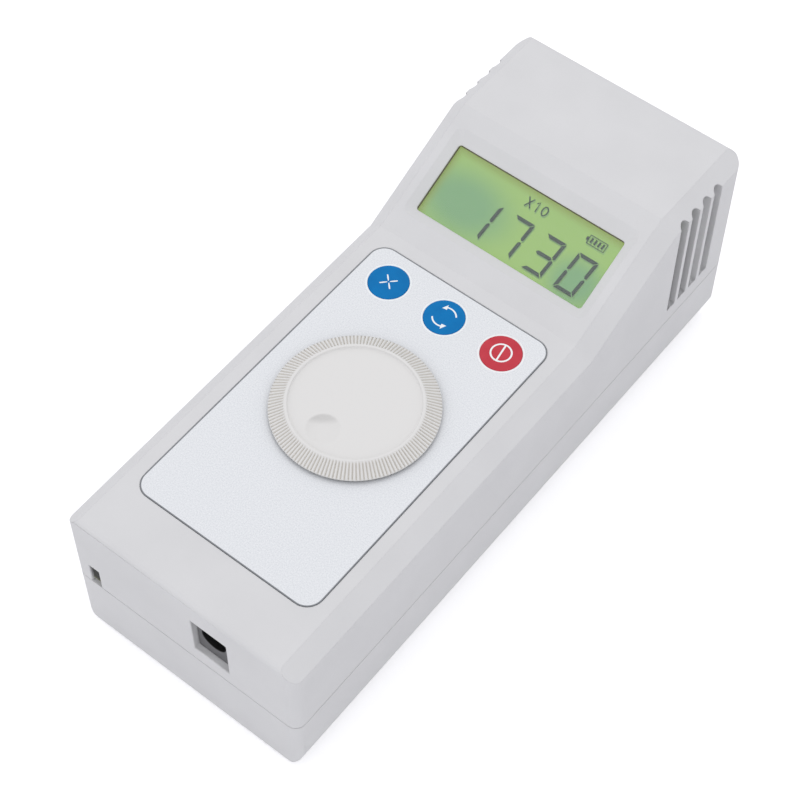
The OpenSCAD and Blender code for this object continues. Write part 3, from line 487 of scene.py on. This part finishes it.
# A cross of four tapered strokes
stroke = 0.36
cross_arms = [ink_ribbon(np.outer((0.3, 1.2, 2.05), (math.cos(a), math.sin(a))),
                         (stroke * 0.6, stroke, stroke * 0.8)) for a in np.radians((45, 135, 225, 315))]
key_symbol("key_multiplier", cross_arms, white_ink)

# Two arrows round a circle: an arc each, and a head from its barbs' foot to its tip
shaft_radius, shaft_sweep = 2.65, 86
tip_radius, tip_ahead = 2.5, 104
barb_radii, barb_ahead = (3.4, 2.72, 2.0), 76
arrows = []
for start in (34, 214):
    arrows.append(ink_ribbon(arc_line(shaft_radius, start, start + shaft_sweep, 14), stroke))
    tip_angle, foot_angle = math.radians(start + tip_ahead), math.radians(start + barb_ahead)
    tip = tip_radius * np.array([math.cos(tip_angle), math.sin(tip_angle)])
    barbs = np.outer(barb_radii, (math.cos(foot_angle), math.sin(foot_angle)))
    arrows.append((np.vstack([tip, barbs]), [(0, 1, 2), (0, 2, 3)]))
key_symbol("key_phase", arrows, white_ink)

# A ring with a leaning bar, which has points enough to follow the dome
ring_radius, ring_line, half_bar, bar_lean = 2.32, 0.4, 2.15, math.radians(9)
power_bar = np.outer(np.linspace(-1, 1, 9), (-math.sin(bar_lean), math.cos(bar_lean))) * half_bar
key_symbol("key_power", [ink_ribbon(arc_line(ring_radius, 0, 354, 60), ring_line, closed=True),
                         ink_ribbon(power_bar, ring_line)], white_ink)

# The unprinted rim of film round each key covers the gap to the overlay's hole
rim_radii = np.array([4.74, 4.74, 4.8, 5.12, 5.2, 5.2]) * mm
rim_heights = film_high.z + np.array([-0.14, 0.008, 0.03, 0.03, 0.012, 0.002]) * mm
rims = [(turned(rim_radii, rim_heights, centre, key_columns).reshape(-1, 3),
         grid_faces(len(rim_radii), key_columns)) for centre in key_places.values()]
key_rims = mesh_piece("key_rims", *joined(rims), white_ink)

# The switches under the keys: black acetal plungers in grey PBT housings,
# soldered to the main board.
# Acetal looks smooth and a little waxy, PBT duller and faintly mottled
acetal = grained("black_acetal", "#1b1c1e", 0.35, 0.3 * mm, 0.003 * mm,
                 ("#17181a", "#222326"), None, 1 * mm, ior=1.48)
grey_pbt = grained("grey_pbt", "#5b5d60", 0.5, 0.3 * mm, 0.006 * mm,
                   ("#555759", "#626467"), None, 2 * mm, ior=1.55)
finish_node(("plunger_multiplier", "plunger_phase", "plunger_power"), acetal)
finish_node(("switch_housings", "encoder_housing"), grey_pbt)

# Knob
# One moulding of ivory ABS. The sloping grip has 140 fine radial ribs that end
# at a raised lip; the face is sunk, with a finger dimple near the socket end.
knob_low, knob_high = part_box("knob")
knob_centre = Vector(((knob_low.x + knob_high.x) / 2, (knob_low.y + knob_high.y) / 2, 0))
knob_radius = (knob_high.x - knob_low.x) / 2
knob_top = knob_high.z
knob_foot = knob_top - 2.5 * mm
ribs, columns_per_rib = 140, 6
rib_depth, rim_notch_depth = 0.4 * mm, 0.14 * mm
lip_r, face_r, face_sunk = 15.05 * mm, 14.45 * mm, 0.55 * mm
grip_fall = 1.55 * mm
hub_r, bore_r, bore_end = 5.5 * mm, 3.06 * mm, knob_top - 1.3 * mm
dimple_off, dimple_direction, finger_push = 9.4 * mm, 263, 128
dimple_radius, dimple_depth = 3.7 * mm, 1.15 * mm


def knob_surface():
    """Rows run from the face's centre over lip and grip, round the rim, down the hub and up its bore.

    A point of the grip at angle a lies lower than the cone by the rib depth times the rib's wave, which
    is 1 in a groove and 0 on a ridge, and fades out at both ends of the grip. A point of the face lies
    lower by the dimple's depth times 1 less the 2.8th power of its distance from the dimple's middle
    over its radius, and more so where a finger pushes. Shade is painted below the rim and on that side.
    Returns points and faces, and each point's share of the painted shade in the grooves and of the
    painted shade below the rim and in the dimple.
    """
    face = np.linspace(0, face_r - 0.35 * mm, 46)
    lip_out = face_r + np.array([-0.24, -0.1, -0.03, 0.01, 0.08, 0.2, 0.42, 0.54]) * mm
    lip_up = knob_top + np.array([-0.55, -0.5, -0.34, -0.13, -0.02, 0, 0, -0.03]) * mm
    along_grip = np.linspace(0, 1, 12)
    grip_out = lip_r + 0.02 * mm + along_grip * (knob_radius - 0.12 * mm - lip_r)
    grip_up = knob_top - 0.07 * mm - along_grip * grip_fall
    rim_out = knob_radius + np.array([-0.03, 0, 0, -0.03, -0.2]) * mm
    rim_up = knob_foot + np.array([0.8, 0.68, 0.42, 0.34, 0]) * mm
    hub_out = np.array([hub_r, hub_r, bore_r, bore_r, 0])
    hub_up = np.array([knob_foot, knob_low.z, knob_low.z, bore_end, bore_end])
    radii = np.concatenate([face, lip_out, grip_out, rim_out, hub_out])
    heights = np.concatenate([np.full(len(face), knob_top - face_sunk), lip_up, grip_up, rim_up, hub_up])
    columns = ribs * columns_per_rib
    points = turned(radii, heights, knob_centre, columns)

    a = np.linspace(0, 2 * np.pi, columns, endpoint=False)
    wave = np.clip(-0.1 - 1.1 * np.cos(a * ribs), 0, 1)
    grip = slice(len(face) + len(lip_out), len(face) + len(lip_out) + len(along_grip))
    fade = np.zeros(len(radii))
    fade[grip] = np.clip(np.minimum(along_grip, 1.05 - along_grip) * 9, 0, 1) ** 0.5
    points[:, :, 2] -= rib_depth * fade[:, None] * wave
    rim_notch = np.zeros(len(radii))
    rim_notch[grip.stop - 1:grip.stop + 3] = np.array([0.1, 0.14, 0.12, 0.04]) * mm
    outward = (points[:, :, :2] - knob_centre[:2]) / knob_radius
    points[:, :, :2] -= outward * rim_notch[:, None, None] * wave[:, None]

    towards, push = np.radians(dimple_direction), math.radians(finger_push)
    dimple = np.array(knob_centre[:2]) + dimple_off * np.array([np.cos(towards), np.sin(towards)])
    offset = (points[:len(face), :, :2] - dimple) / dimple_radius
    away = np.linalg.norm(offset, axis=-1)
    steep = offset @ np.array([math.cos(push), math.sin(push)])
    points[:len(face), :, 2] -= dimple_depth * np.clip(1 - away ** 2.8, 0, 1) * (0.7 + 0.3 * steep)

    groove = np.maximum(fade, rim_notch / rim_notch_depth)[:, None] * wave
    # Painted shade: the lowest rows of the rim, and the dimple's steep side, take a share of the dark
    # colour
    shade_amount = np.zeros(groove.shape)
    shade_amount[grip.stop + 3:grip.stop + 6] = 1
    shade_amount[:len(face)] = 0.18 * np.clip(3.2 * steep - 1.4, 0, 1) * np.clip(8 - 7.4 * away, 0, 1)
    return points, grid_faces(len(radii), columns), groove, shade_amount


ivory_abs, tree, shader, place = material("ivory_abs", "#dfdedc", 0.42, ior=1.53)
grain(tree, shader, place, 0.4 * mm, 0.003 * mm, None, (0.36, 0.48))
# Painted shade: the grooves between the ribs, which keep less light, are coloured darker and a little
# browner
groove_shade_of = add(tree, "Attribute", {"attribute_name": "groove"})
grip_colour = add(tree, "Mix", {"data_type": "RGBA", 6: linear("#e1e0de"), 7: linear("#cdc8be")},
                  {0: groove_shade_of.outputs["Fac"]})
# Painted shade: the knob's lower edge next to the overlay, and the steep side of its dimple, are coloured
# dark
painted_shade_of = add(tree, "Attribute", {"attribute_name": "painted_shade"})
knob_colour = add(tree, "Mix", {"data_type": "RGBA", 7: linear("#504e4c")},
                  {0: painted_shade_of.outputs["Fac"], 6: grip_colour.outputs[2]})
tree.links.new(knob_colour.outputs[2], shader.inputs["Base Color"])
knob_points, knob_faces, groove_shade_share, painted_shade_share = knob_surface()
knob = mesh_piece("knob_turned", knob_points, knob_faces, ivory_abs, body="knob")
for name, share in (("groove", groove_shade_share), ("painted_shade", painted_shade_share)):
    knob.data.attributes.new(name, "FLOAT", "POINT").data.foreach_set("value", share.ravel())
close_seams(knob)
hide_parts("knob")

# The encoder under the knob: a nickel-plated shaft in a plated bushing. Nickel is bright and a little
# warm, with faint clouds where the bath plated unevenly
nickel = grained("nickel_plated_brass", "#c3bfb4", 0.22, 0.2 * mm, 0.002 * mm,
                 ("#bcb8ad", "#cac6bc"), (0.16, 0.3), 2 * mm, metallic=1.0)
finish_node(("encoder_shaft", "encoder_bushing", "dc_jack_pin", "dc_jack_contact", "battery_cells",
             "crystal"), nickel)

# Display
# A liquid crystal glass with a yellow-green backlight lies under a clear acrylic
# window, glued from inside behind the bevelled opening of the sloping face.
slope, head_rise = math.radians(25.4), 14.5
crease = Vector((0, 21.0, 42.5)) * mm
slope_length = head_rise / math.sin(slope) * mm
view_middle = slope_length / 2 - 0.3 * mm
view_width, view_height = 45.8 * mm, 17.9 * mm
window_width, window_height, window_corner = 48.6 * mm, 20.7 * mm, 0.8 * mm
window_low, window_top, window_edge = -2.2 * mm, -1.5 * mm, 0.1 * mm


def on_slope(x, s, lift):
    """Points over the sloping face: across it by x, up it by s from the crease, out of it by lift."""
    x, s, lift = np.broadcast_arrays(x, s, lift)
    return np.stack([x, crease.y + s * math.cos(slope) - lift * math.sin(slope),
                     crease.z + s * math.sin(slope) + lift * math.cos(slope)], -1)


def window_plate(steps=6):
    """Rings of a rounded rectangle on the slope, drawn in by the edge at both faces, and their caps."""
    rings = [(-window_edge, window_low), (0, window_low + window_edge),
             (0, window_top - window_edge), (-window_edge, window_top)]
    a = np.radians(np.linspace(0, 90, steps))
    quarter = np.stack([np.cos(a), np.sin(a)], 1)
    corners = [(1, 1, quarter), (-1, 1, quarter[::-1] * (-1, 1)),
               (-1, -1, -quarter), (1, -1, quarter[::-1] * (1, -1))]
    inner_x, inner_y = window_width / 2 - window_corner, window_height / 2 - window_corner
    points = []
    for grow, lift in rings:
        ring = np.concatenate([np.array([side_x * inner_x, side_y * inner_y])
                               + arc * (window_corner + grow) for side_x, side_y, arc in corners])
        points.append(on_slope(ring[:, 0], view_middle + ring[:, 1], lift))
    count = len(points[0])
    faces = [tuple(face) for face in grid_faces(len(rings), count)]
    last_ring = (len(rings) - 1) * count
    faces += [tuple(range(count))[::-1], tuple(range(last_ring, last_ring + count))]
    return np.concatenate(points), faces


# Clear by its alpha, so that the studio's light reaches what lies behind it
clear_acrylic, tree, shader, place = material("clear_acrylic", "#b9bcc0", 0.05, ior=1.49)
grain(tree, shader, place, 4 * mm, 0.001 * mm, None, (0.02, 0.08))
shader.inputs["Alpha"].default_value = 0.1
window = mesh_piece("display_window_plate", *window_plate(), clear_acrylic, smooth=False)
close_seams(window)
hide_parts("display_window")

# The glass glows yellow-green, with a bluer patch on the left and one on the right
lcd, tree, shader, place = material("backlit_liquid_crystal", "#8fbf78", 0.25, ior=1.52)
centred = add(tree, "Mapping", {"vector_type": "TEXTURE", "Rotation": (slope, 0, 0),
                                "Location": on_slope(0.0, view_middle, 0.0).tolist()}, {"Vector": place})
cool = []
for middle_x, middle_y, half_x, half_y in ((-14.5, -2.0, 17, 10.5), (18, -4.5, 9.5, 8)):
    shifted = add(tree, "VectorMath", {"operation": "SUBTRACT", 1: (middle_x * mm, middle_y * mm, 0)},
                  {0: centred})
    inverse = (1 / (half_x * mm), 1 / (half_y * mm), 0)
    scaled = add(tree, "VectorMath", {"operation": "MULTIPLY", 1: inverse}, {0: shifted})
    spread = add(tree, "VectorMath", {"operation": "LENGTH"}, {0: scaled})
    cool.append(add(tree, "MapRange", {"interpolation_type": "SMOOTHSTEP", "From Min": 0.25,
                                       "From Max": 1.0, "To Min": 1.0, "To Max": 0.0},
                    {"Value": spread.outputs["Value"]}))
coolest = add(tree, "Math", {"operation": "MAXIMUM"}, {0: cool[0], 1: cool[1]})
patches = add(tree, "Mix", {"data_type": "RGBA", 6: linear("#a3cd6c"), 7: linear("#80b47a")},
              {0: coolest})
# Painted shade: beside the far and the left edge, in the shade of the opening's walls, the glow is
# coloured olive, and a brown line is painted along those two edges
split = add(tree, "SeparateXYZ", {}, {0: centred})
past_left = add(tree, "Math", {"operation": "MULTIPLY_ADD", 1: -1.0, 2: -view_width / 2},
                {0: split.outputs[0]})
past_far = add(tree, "Math", {"operation": "SUBTRACT", 1: view_height / 2 - 0.12 * mm},
               {0: split.outputs[1]})
past_edge = add(tree, "Math", {"operation": "MAXIMUM"}, {0: past_left, 1: past_far})
olive_edge_shade = add(tree, "MapRange", {"interpolation_type": "SMOOTHSTEP", "From Min": -2.4 * mm,
                               "From Max": 0.0, "To Min": 0.0, "To Max": 0.75}, {"Value": past_edge})
glow_with_edge_shade = add(tree, "Mix", {"data_type": "RGBA", 7: linear("#93a744")},
                 {0: olive_edge_shade, 6: patches.outputs[2]})
# Painted shade: the brown line along the far and the left edge
edge_shade_line = add(tree, "MapRange", {"From Min": -0.06 * mm, "From Max": 0.04 * mm}, {"Value": past_edge})
glass_glow = add(tree, "Mix", {"data_type": "RGBA", 7: linear("#4e4420")},
                 {0: edge_shade_line, 6: glow_with_edge_shade.outputs[2]})
tree.links.new(glass_glow.outputs[2], shader.inputs["Emission Color"])
shader.inputs["Emission Strength"].default_value = 0.8
dim = add(tree, "Mix", {"data_type": "RGBA", "blend_type": "MULTIPLY", 0: 1.0, 7: linear("#484848")},
          {6: glass_glow.outputs[2]})
tree.links.new(dim.outputs[2], shader.inputs["Base Color"])
finish_node(["lcd_glass"], lcd)

# Segments of a digit, in mm from its near left corner, with mitred ends and a gap between them
right, top, bar, gap = 5.4, 9.6, 0.88, 0.14
waist, inner, notch = top / 2, right - bar, gap * 2.5
segments = {
    "a": [(gap, top), (right - gap, top), (inner - gap, top - bar), (bar + gap, top - bar)],
    "d": [(bar + gap, bar), (inner - gap, bar), (right - gap, 0), (gap, 0)],
    "g": [(bar / 2 + gap, waist), (bar + gap, waist + bar / 2), (inner - gap, waist + bar / 2),
          (right - bar / 2 - gap, waist), (inner - gap, waist - bar / 2), (bar + gap, waist - bar / 2)],
    "f": [(0, top - gap), (bar, top - bar - gap), (bar, waist + bar / 2 + gap), (bar / 2, waist + gap),
          (0, waist + notch)],
    "b": [(right, top - gap), (right, waist + notch), (right - bar / 2, waist + gap),
          (inner, waist + bar / 2 + gap), (inner, top - bar - gap)],
    "e": [(0, gap), (0, waist - notch), (bar / 2, waist - gap), (bar, waist - bar / 2 - gap),
          (bar, bar + gap)],
    "c": [(right, gap), (inner, bar + gap), (inner, waist - bar / 2 - gap),
          (right - bar / 2, waist - gap), (right, waist - notch)],
}

# Four digits, in mm from the window's middle
shown = ("bc", "abc", "abgcd", "abcdef")
digit_pitch, first_left, digits_top, lean = 8.68, -11.1, 2.05, math.tan(math.radians(5.5))
parts = []
for number, lit_segments in enumerate(shown):
    for letter in lit_segments:
        outline = np.array(segments[letter])
        outline[:, 0] += (outline[:, 1] - top) * lean + first_left + number * digit_pitch
        outline[:, 1] += digits_top - top
        parts.append((outline, [tuple(range(len(outline)))]))

# The times-ten sign over the digits: a cross of two strokes, a one and a nought
sign_left, sign_foot, sign_high, sign_line = -2.1, 4.6, 2.45, 0.32
cross_wide, one_left, one_right, nought_middle, nought_half = 1.5, 2.4, 3.0, 4.95, 0.68
for up in (-1, 1):
    parts.append(ink_ribbon([(sign_left, sign_foot + sign_high / 2 * (1 - up)),
                             (sign_left + cross_wide, sign_foot + sign_high / 2 * (1 + up))], sign_line))
parts.append(ink_ribbon([(sign_left + one_left, sign_foot + sign_high * 0.75),
                         (sign_left + one_right, sign_foot + sign_high),
                         (sign_left + one_right, sign_foot)], sign_line))
a = np.linspace(0, 2 * np.pi, 24, endpoint=False)
nought = np.stack([sign_left + nought_middle + nought_half * np.cos(a),
                   sign_foot + sign_high / 2 + (sign_high / 2 - sign_line / 2) * np.sin(a)], 1)
parts.append(ink_ribbon(nought, sign_line, closed=True))

# The battery sign: an outline, its terminal and four leaning bars
cell_left, cell_foot, cell_wide, cell_high = 15.0, 4.6, 4.55, 2.05
cell_line, terminal_off, mark_wide = 0.28, 0.36, 0.5
bar_first, bar_pitch, bar_slant, bar_inset = 0.72, 1.0, 0.15, 0.42
cell_outline = [(cell_left, cell_foot), (cell_left + cell_wide, cell_foot),
                (cell_left + cell_wide, cell_foot + cell_high), (cell_left, cell_foot + cell_high)]
parts.append(ink_ribbon(cell_outline, cell_line, closed=True))
parts.append(ink_ribbon([(cell_left - terminal_off, cell_foot + cell_high * 0.3),
                         (cell_left - terminal_off, cell_foot + cell_high * 0.7)], mark_wide))
for step in range(4):
    x = cell_left + bar_first + step * bar_pitch
    parts.append(ink_ribbon([(x, cell_foot + bar_inset),
                             (x + bar_slant, cell_foot + cell_high - bar_inset)], mark_wide))

# The segments lie just over the glass, and their shadow on its back shows beside them
lcd_top, segment_lift, shadow_lift = -2.3 * mm, 0.05 * mm, 0.02 * mm
shadow_right, shadow_near = 0.28 * mm, 0.3 * mm
# Driven crystal looks green-black and a little uneven, and its shadow a dull green
lcd_ink = grained("dark_liquid_crystal", "#2c4330", 0.4, 0.5 * mm, 0.001 * mm,
                  ("#283e2b", "#324b36"), None, 4 * mm)
lcd_shade = grained("segment_shadow", "#7fa968", 0.5, 0.5 * mm, 0.001 * mm,
                    ("#7aa564", "#86b06e"), None, 4 * mm)
flat, faces = joined(parts)
digit_points = on_slope(flat[:, 0] * mm, view_middle + flat[:, 1] * mm, lcd_top + segment_lift)
shadow_points = on_slope(flat[:, 0] * mm + shadow_right, view_middle + flat[:, 1] * mm - shadow_near,
                         lcd_top + shadow_lift)
for name, points, finish in (("display_segments", digit_points, lcd_ink),
                             ("display_segment_shadows", shadow_points, lcd_shade)):
    mesh_piece(name, points, faces, finish, smooth=False)

# Behind the glass: a light guide, tinned pins, and the display board's cable. The guide's rough back
# spreads the glow, tin is a dull silver with wiping marks, and the cable shows its single wires
light_guide, tree, shader, place = material("acrylic_light_guide", "#d9e8a8", 0.3, ior=1.49)
grain(tree, shader, place, 0.4 * mm, 0.01 * mm, ("#d4e49f", "#dfecb4"), None, 3 * mm)
shader.inputs["Emission Color"].default_value = linear("#b8dc60")
shader.inputs["Emission Strength"].default_value = 0.4
tinned = grained("tinned_brass", "#cfcfca", 0.3, 0.15 * mm, 0.003 * mm,
                 ("#c6c6c1", "#d7d7d2"), (0.22, 0.4), 0.6 * mm, metallic=1.0)
# A wave texture of scale 1 has 3.18 bands a metre, and the ribbon has one every 1.27 mm
ribbon_film, tree, shader, place = material("ribbed_pvc_ribbon", "#e4e4e0", 0.45)
stripes = add(tree, "TexWave", {"wave_type": "BANDS", "bands_direction": "X",
                                "Scale": 1 / (1.27 * mm) / 3.18}, {"Vector": place})
ribbed = add(tree, "Bump", {"Strength": 0.6, "Distance": 0.1 * mm}, {"Height": stripes.outputs["Fac"]})
tree.links.new(ribbed.outputs["Normal"], shader.inputs["Normal"])
finish_node(["lcd_backlight"], light_guide)
finish_node(["lcd_pins"], tinned)
finish_node(["display_ribbon"], ribbon_film)

# Boards
# Glass-epoxy circuit boards under green solder mask, and a white one for the
# lamp. Copper tracks show through the mask as raised paler lines. Chips are
# black epoxy mouldings, and the wires' sockets ivory nylon.


def board_finish(name, colour, roughness, mask, copper, pitch):
    """Solder mask over tracks: the edges of square-ish cells, one every pitch, are raised and paler."""
    made, tree, shader, place = material(name, colour, roughness, ior=1.55)
    cells = add(tree, "TexBrick", {"Scale": 1 / (8 * pitch), "Mortar Size": 0.035, "Brick Width": 0.5,
                                   "Row Height": 0.25, "Color1": linear(mask), "Color2": linear(mask),
                                   "Mortar": linear(copper)}, {"Vector": place})
    tree.links.new(cells.outputs["Color"], shader.inputs["Base Color"])
    lift = add(tree, "Bump", {"Strength": 0.8, "Distance": 0.035 * mm}, {"Height": cells.outputs["Fac"]})
    tree.links.new(lift.outputs["Normal"], shader.inputs["Normal"])
    return made


green_board = board_finish("green_solder_mask", "#1f6b3a", 0.32, "#1c6536", "#3a8a55", 1.27 * mm)
white_board = board_finish("white_solder_mask", "#e6e6e1", 0.35, "#e4e4df", "#f2f2ee", 2.2 * mm)
# Filled epoxy moulds dull and sandy, and nylon with a soft waxy sheen
epoxy = grained("black_epoxy_moulding", "#232425", 0.55, 0.12 * mm, 0.006 * mm,
                ("#1e1f20", "#2b2c2d"), None, 0.3 * mm, ior=1.55)
nylon = grained("ivory_nylon", "#e6e2d4", 0.45, 0.35 * mm, 0.004 * mm,
                ("#e3dfd0", "#e9e6da"), None, 2 * mm, ior=1.53)
black_nylon = grained("black_nylon", "#1d1e20", 0.5, 0.35 * mm, 0.004 * mm,
                      ("#191a1c", "#232427"), None, 2 * mm, ior=1.53)
# A shrunk sleeve is glossy and slightly rippled, and sintered ferrite dull and granular
sleeve = grained("blue_pvc_shrink_sleeve", "#26355f", 0.3, 1.2 * mm, 0.02 * mm,
                 ("#22305a", "#2b3b68"), (0.22, 0.4), 5 * mm, ior=1.54)
ferrite = grained("sintered_ferrite", "#3b3b3d", 0.7, 0.1 * mm, 0.01 * mm,
                  ("#333335", "#454548"), None, 0.25 * mm)
dark_board = board_finish("dark_green_solder_mask", "#10301d", 0.35, "#0f2d1b", "#1d4a2e", 1.27 * mm)
finish_node(("main_board", "display_board"), green_board)
finish_node(["power_board"], dark_board)
finish_node(["led_board"], white_board)
finish_node(("microcontroller", "lamp_driver", "charger_chip"), epoxy)
finish_node(("lamp_socket", "ribbon_sockets", "battery_socket"), nylon)
finish_node(["board_header"], black_nylon)
finish_node(("buffer_capacitors", "battery_sleeve"), sleeve)
finish_node(["charger_coil"], ferrite)

# Charging socket and light
# A board-mounted barrel socket of dark nylon looks out of the near end, beside
# a small light guide of cloudy yellow-green plastic at the parting line.
jack_low, jack_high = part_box("dc_jack_body")
pin_low, pin_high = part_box("dc_jack_pin")
bore_axis = (pin_low + pin_high) / 2
jack_front = jack_low.y - 1.2 * mm
front_bore, front_edge = 3.2 * mm, 0.12 * mm
shaded_bore, shade_fade = 3.22 * mm, 0.1 * mm

socket_body, tree, shader, place = material("dark_nylon_painted_sheen", "#6a6a6c", 0.5, ior=1.53)
grain(tree, shader, place, 0.3 * mm, 0.006 * mm)
# Painted light and shade: outside the bore the body is coloured a mottled grey for its sheen, and the
# bore black for the shade inside it
from_axis = add(tree, "VectorMath", {"operation": "SUBTRACT", 1: bore_axis}, {0: place})
in_section = add(tree, "VectorMath", {"operation": "MULTIPLY", 1: (1, 0, 1)}, {0: from_axis})
off_axis = add(tree, "VectorMath", {"operation": "LENGTH"}, {0: in_section})
outside_bore = add(tree, "MapRange", {"From Min": shaded_bore, "From Max": shaded_bore + shade_fade},
                   {"Value": off_axis.outputs["Value"]})
face_mottle = add(tree, "TexNoise", {"Scale": 1 / (1.5 * mm), "Detail": 3.0}, {"Vector": place})
sheen_face = add(tree, "Mix", {"data_type": "RGBA", 6: linear("#4c4c4e"), 7: linear("#69696b")},
                {0: face_mottle.outputs["Fac"]})
socket_colour = add(tree, "Mix", {"data_type": "RGBA", 6: linear("#0a0a0b")},
                    {0: outside_bore, 7: sheen_face.outputs[2]})
tree.links.new(socket_colour.outputs[2], shader.inputs["Base Color"])
finish_node(["dc_jack_body"], socket_body)


def ray_to_box(angles, low, high):
    """Where rays from the origin leave a box: at the shorter of its reaches sideways and upwards."""
    c, s = np.cos(angles), np.sin(angles)
    side = np.where(c > 0, high[0], -low[0]) / np.maximum(np.abs(c), 1e-9)
    up = np.where(s > 0, high[1], -low[1]) / np.maximum(np.abs(s), 1e-9)
    return (np.minimum(side, up) * np.array([c, s])).T


def standing_rings(rings, x, z, count):
    """A surface of rings round the line through x and z, each given as its points and its Y."""
    return np.stack([np.column_stack([x + ring[:, 0], np.full(count, y), z + ring[:, 1]])
                     for ring, y in rings]), grid_faces(len(rings), count)


def socket_front(count=120):
    """Rings round the bore's axis, each a circle or the block's outline, out of the bore and back."""
    a = np.linspace(0, 2 * np.pi, count, endpoint=False)
    circle = np.stack([np.cos(a), np.sin(a)], 1)
    low = np.array([jack_low.x - bore_axis.x, jack_low.z - bore_axis.z])
    high = np.array([jack_high.x - bore_axis.x, jack_high.z - bore_axis.z])
    bore, mouth = circle * front_bore, circle * (front_bore + front_edge)
    face, block = ray_to_box(a, low + front_edge, high - front_edge), ray_to_box(a, low, high)
    rings = [(bore, jack_low.y), (bore, jack_front + front_edge), (mouth, jack_front),
             (face, jack_front), (block, jack_front + front_edge), (block, jack_low.y),
             (bore, jack_low.y)]
    return standing_rings(rings, bore_axis.x, bore_axis.z, count)


collar = mesh_piece("dc_jack_front", *socket_front(), socket_body, smooth=False)
close_seams(collar)

# Filled plastic scatters the light that enters it and looks cloudy
cloudy, tree, shader, place = material("cloudy_green_light_guide", "#8f9660", 0.4, ior=1.5)
grain(tree, shader, place, 0.5 * mm, 0.006 * mm, ("#858c57", "#9aa16b"), None, 2 * mm)
shader.inputs["Subsurface Weight"].default_value = 0.3
shader.inputs["Subsurface Radius"].default_value = (0.001, 0.001, 0.0006)
finish_node(["charge_light"], cloudy)
guide_low, guide_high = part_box("charge_light")
guide_middle, guide_front = (guide_low + guide_high) / 2, guide_low.y - 2.2 * mm
guide_half = Vector((guide_high.x - guide_low.x, 0, guide_high.z - guide_low.z)) / 2
guide_edge = 0.15 * mm
dark_below, dark_above = guide_middle.z - 2.6 * mm, guide_middle.z - 1.1 * mm

# Painted shade: the guide's tip sits in the slot, and its upper part, in the slot's shade, is coloured
# darker
shaded_guide_tip, tree, shader, place = material("cloudy_green_guide_tip", "#6d7048", 0.35, ior=1.5)
grain(tree, shader, place, 0.5 * mm, 0.006 * mm)
shader.inputs["Specular IOR Level"].default_value = 0.1
height = add(tree, "SeparateXYZ", {}, {0: place})
upper_painted_shade = add(tree, "MapRange", {"From Min": dark_below, "From Max": dark_above},
                 {"Value": height.outputs[2]})
tip_colour = add(tree, "Mix", {"data_type": "RGBA", 6: linear("#777a55"), 7: linear("#15160d")},
                 {0: upper_painted_shade})
tree.links.new(tip_colour.outputs[2], shader.inputs["Base Color"])


def guide_tip(count=64):
    """Rings of the guide's outline along its length, closed in the middle of its front and its back."""
    a = np.linspace(0, 2 * np.pi, count, endpoint=False)
    half = np.array([guide_half.x, guide_half.z])
    outline = ray_to_box(a, -half, half)
    shares = [(0.0, guide_front), (1 - guide_edge / half[0], guide_front),
              (1.0, guide_front + guide_edge), (1.0, guide_low.y), (0.0, guide_low.y)]
    rings = [(outline * share, y) for share, y in shares]
    return standing_rings(rings, guide_middle.x, guide_middle.z, count)


tip = mesh_piece("charge_light_tip", *guide_tip(), shaded_guide_tip, smooth=False)
close_seams(tip)

# Battery and wires
# Two cells under one shrink sleeve, on foam tape and held by a foam pad. The
# leads are PVC-covered strand, drawn smooth.
# Open foam shows its pores and no gloss; foam tape is chalky, and soft PVC smooth
foam, tree, shader, place = material("grey_polyurethane_foam", "#66676a", 0.95)
pores = add(tree, "TexVoronoi", {"Scale": 1 / (0.5 * mm)}, {"Vector": place})
porous = add(tree, "Bump", {"Strength": 1.0, "Distance": 0.15 * mm},
             {"Height": pores.outputs["Distance"]})
tree.links.new(porous.outputs["Normal"], shader.inputs["Normal"])
tape = grained("white_foam_tape", "#e3e1d8", 0.8, 0.4 * mm, 0.03 * mm,
               ("#dfddd3", "#e8e6de"), None, 2 * mm)
red_pvc = grained("red_pvc_insulation", "#b3211f", 0.4, 0.3 * mm, 0.004 * mm,
                  ("#ad1d1c", "#bb2725"), None, 2 * mm, ior=1.54)
black_pvc = grained("black_pvc_insulation", "#1c1c1e", 0.4, 0.3 * mm, 0.004 * mm,
                    ("#18181a", "#222224"), None, 2 * mm, ior=1.54)
finish_node(["battery_foam"], foam)
finish_node(["battery_tape"], tape)
finish_node(("battery_wire_red", "lamp_wire_red"), red_pvc)
finish_node(("battery_wire_black", "lamp_wire_black"), black_pvc)

# Lamp
# Fifteen clear LEDs stand in a chromed reflector behind an acrylic window in
# the far end, on a white board with an extruded aluminium heat sink.
# Vacuum metallising is a mirror with a faint orange peel from the lacquer under it
chromed = grained("vacuum_metallised_abs", "#dcdde0", 0.08, 1.5 * mm, 0.004 * mm,
                  ("#d8d9dc", "#e1e2e5"), (0.05, 0.14), 6 * mm, metallic=1.0)
# The LEDs' clear epoxy is cast smooth, with slight waves
lamp_epoxy, tree, shader, place = material("clear_led_epoxy", "#f3f4ee", 0.12, ior=1.5)
grain(tree, shader, place, 0.8 * mm, 0.002 * mm, ("#f0f1e9", "#f6f7f2"), None, 2 * mm)
shader.inputs["Transmission Weight"].default_value = 0.2
# Fine lines left by the die run along X, 0.2 mm apart and 12 mm long
aluminium, tree, shader, place = material("extruded_aluminium", "#b4b6b9", 0.42, metallic=1.0)
drawn = add(tree, "Mapping", {"Scale": (1, 60, 60)}, {"Vector": place})
lines = add(tree, "TexNoise", {"Scale": 1 / (12 * mm), "Detail": 4.0}, {"Vector": drawn})
scored = add(tree, "Bump", {"Strength": 0.5, "Distance": 0.02 * mm}, {"Height": lines.outputs["Fac"]})
tree.links.new(scored.outputs["Normal"], shader.inputs["Normal"])
finish_node(["lamp_window"], clear_acrylic)
finish_node(["reflector"], chromed)
finish_node(["lamp_leds"], lamp_epoxy)
finish_node(["heat_sink"], aluminium)
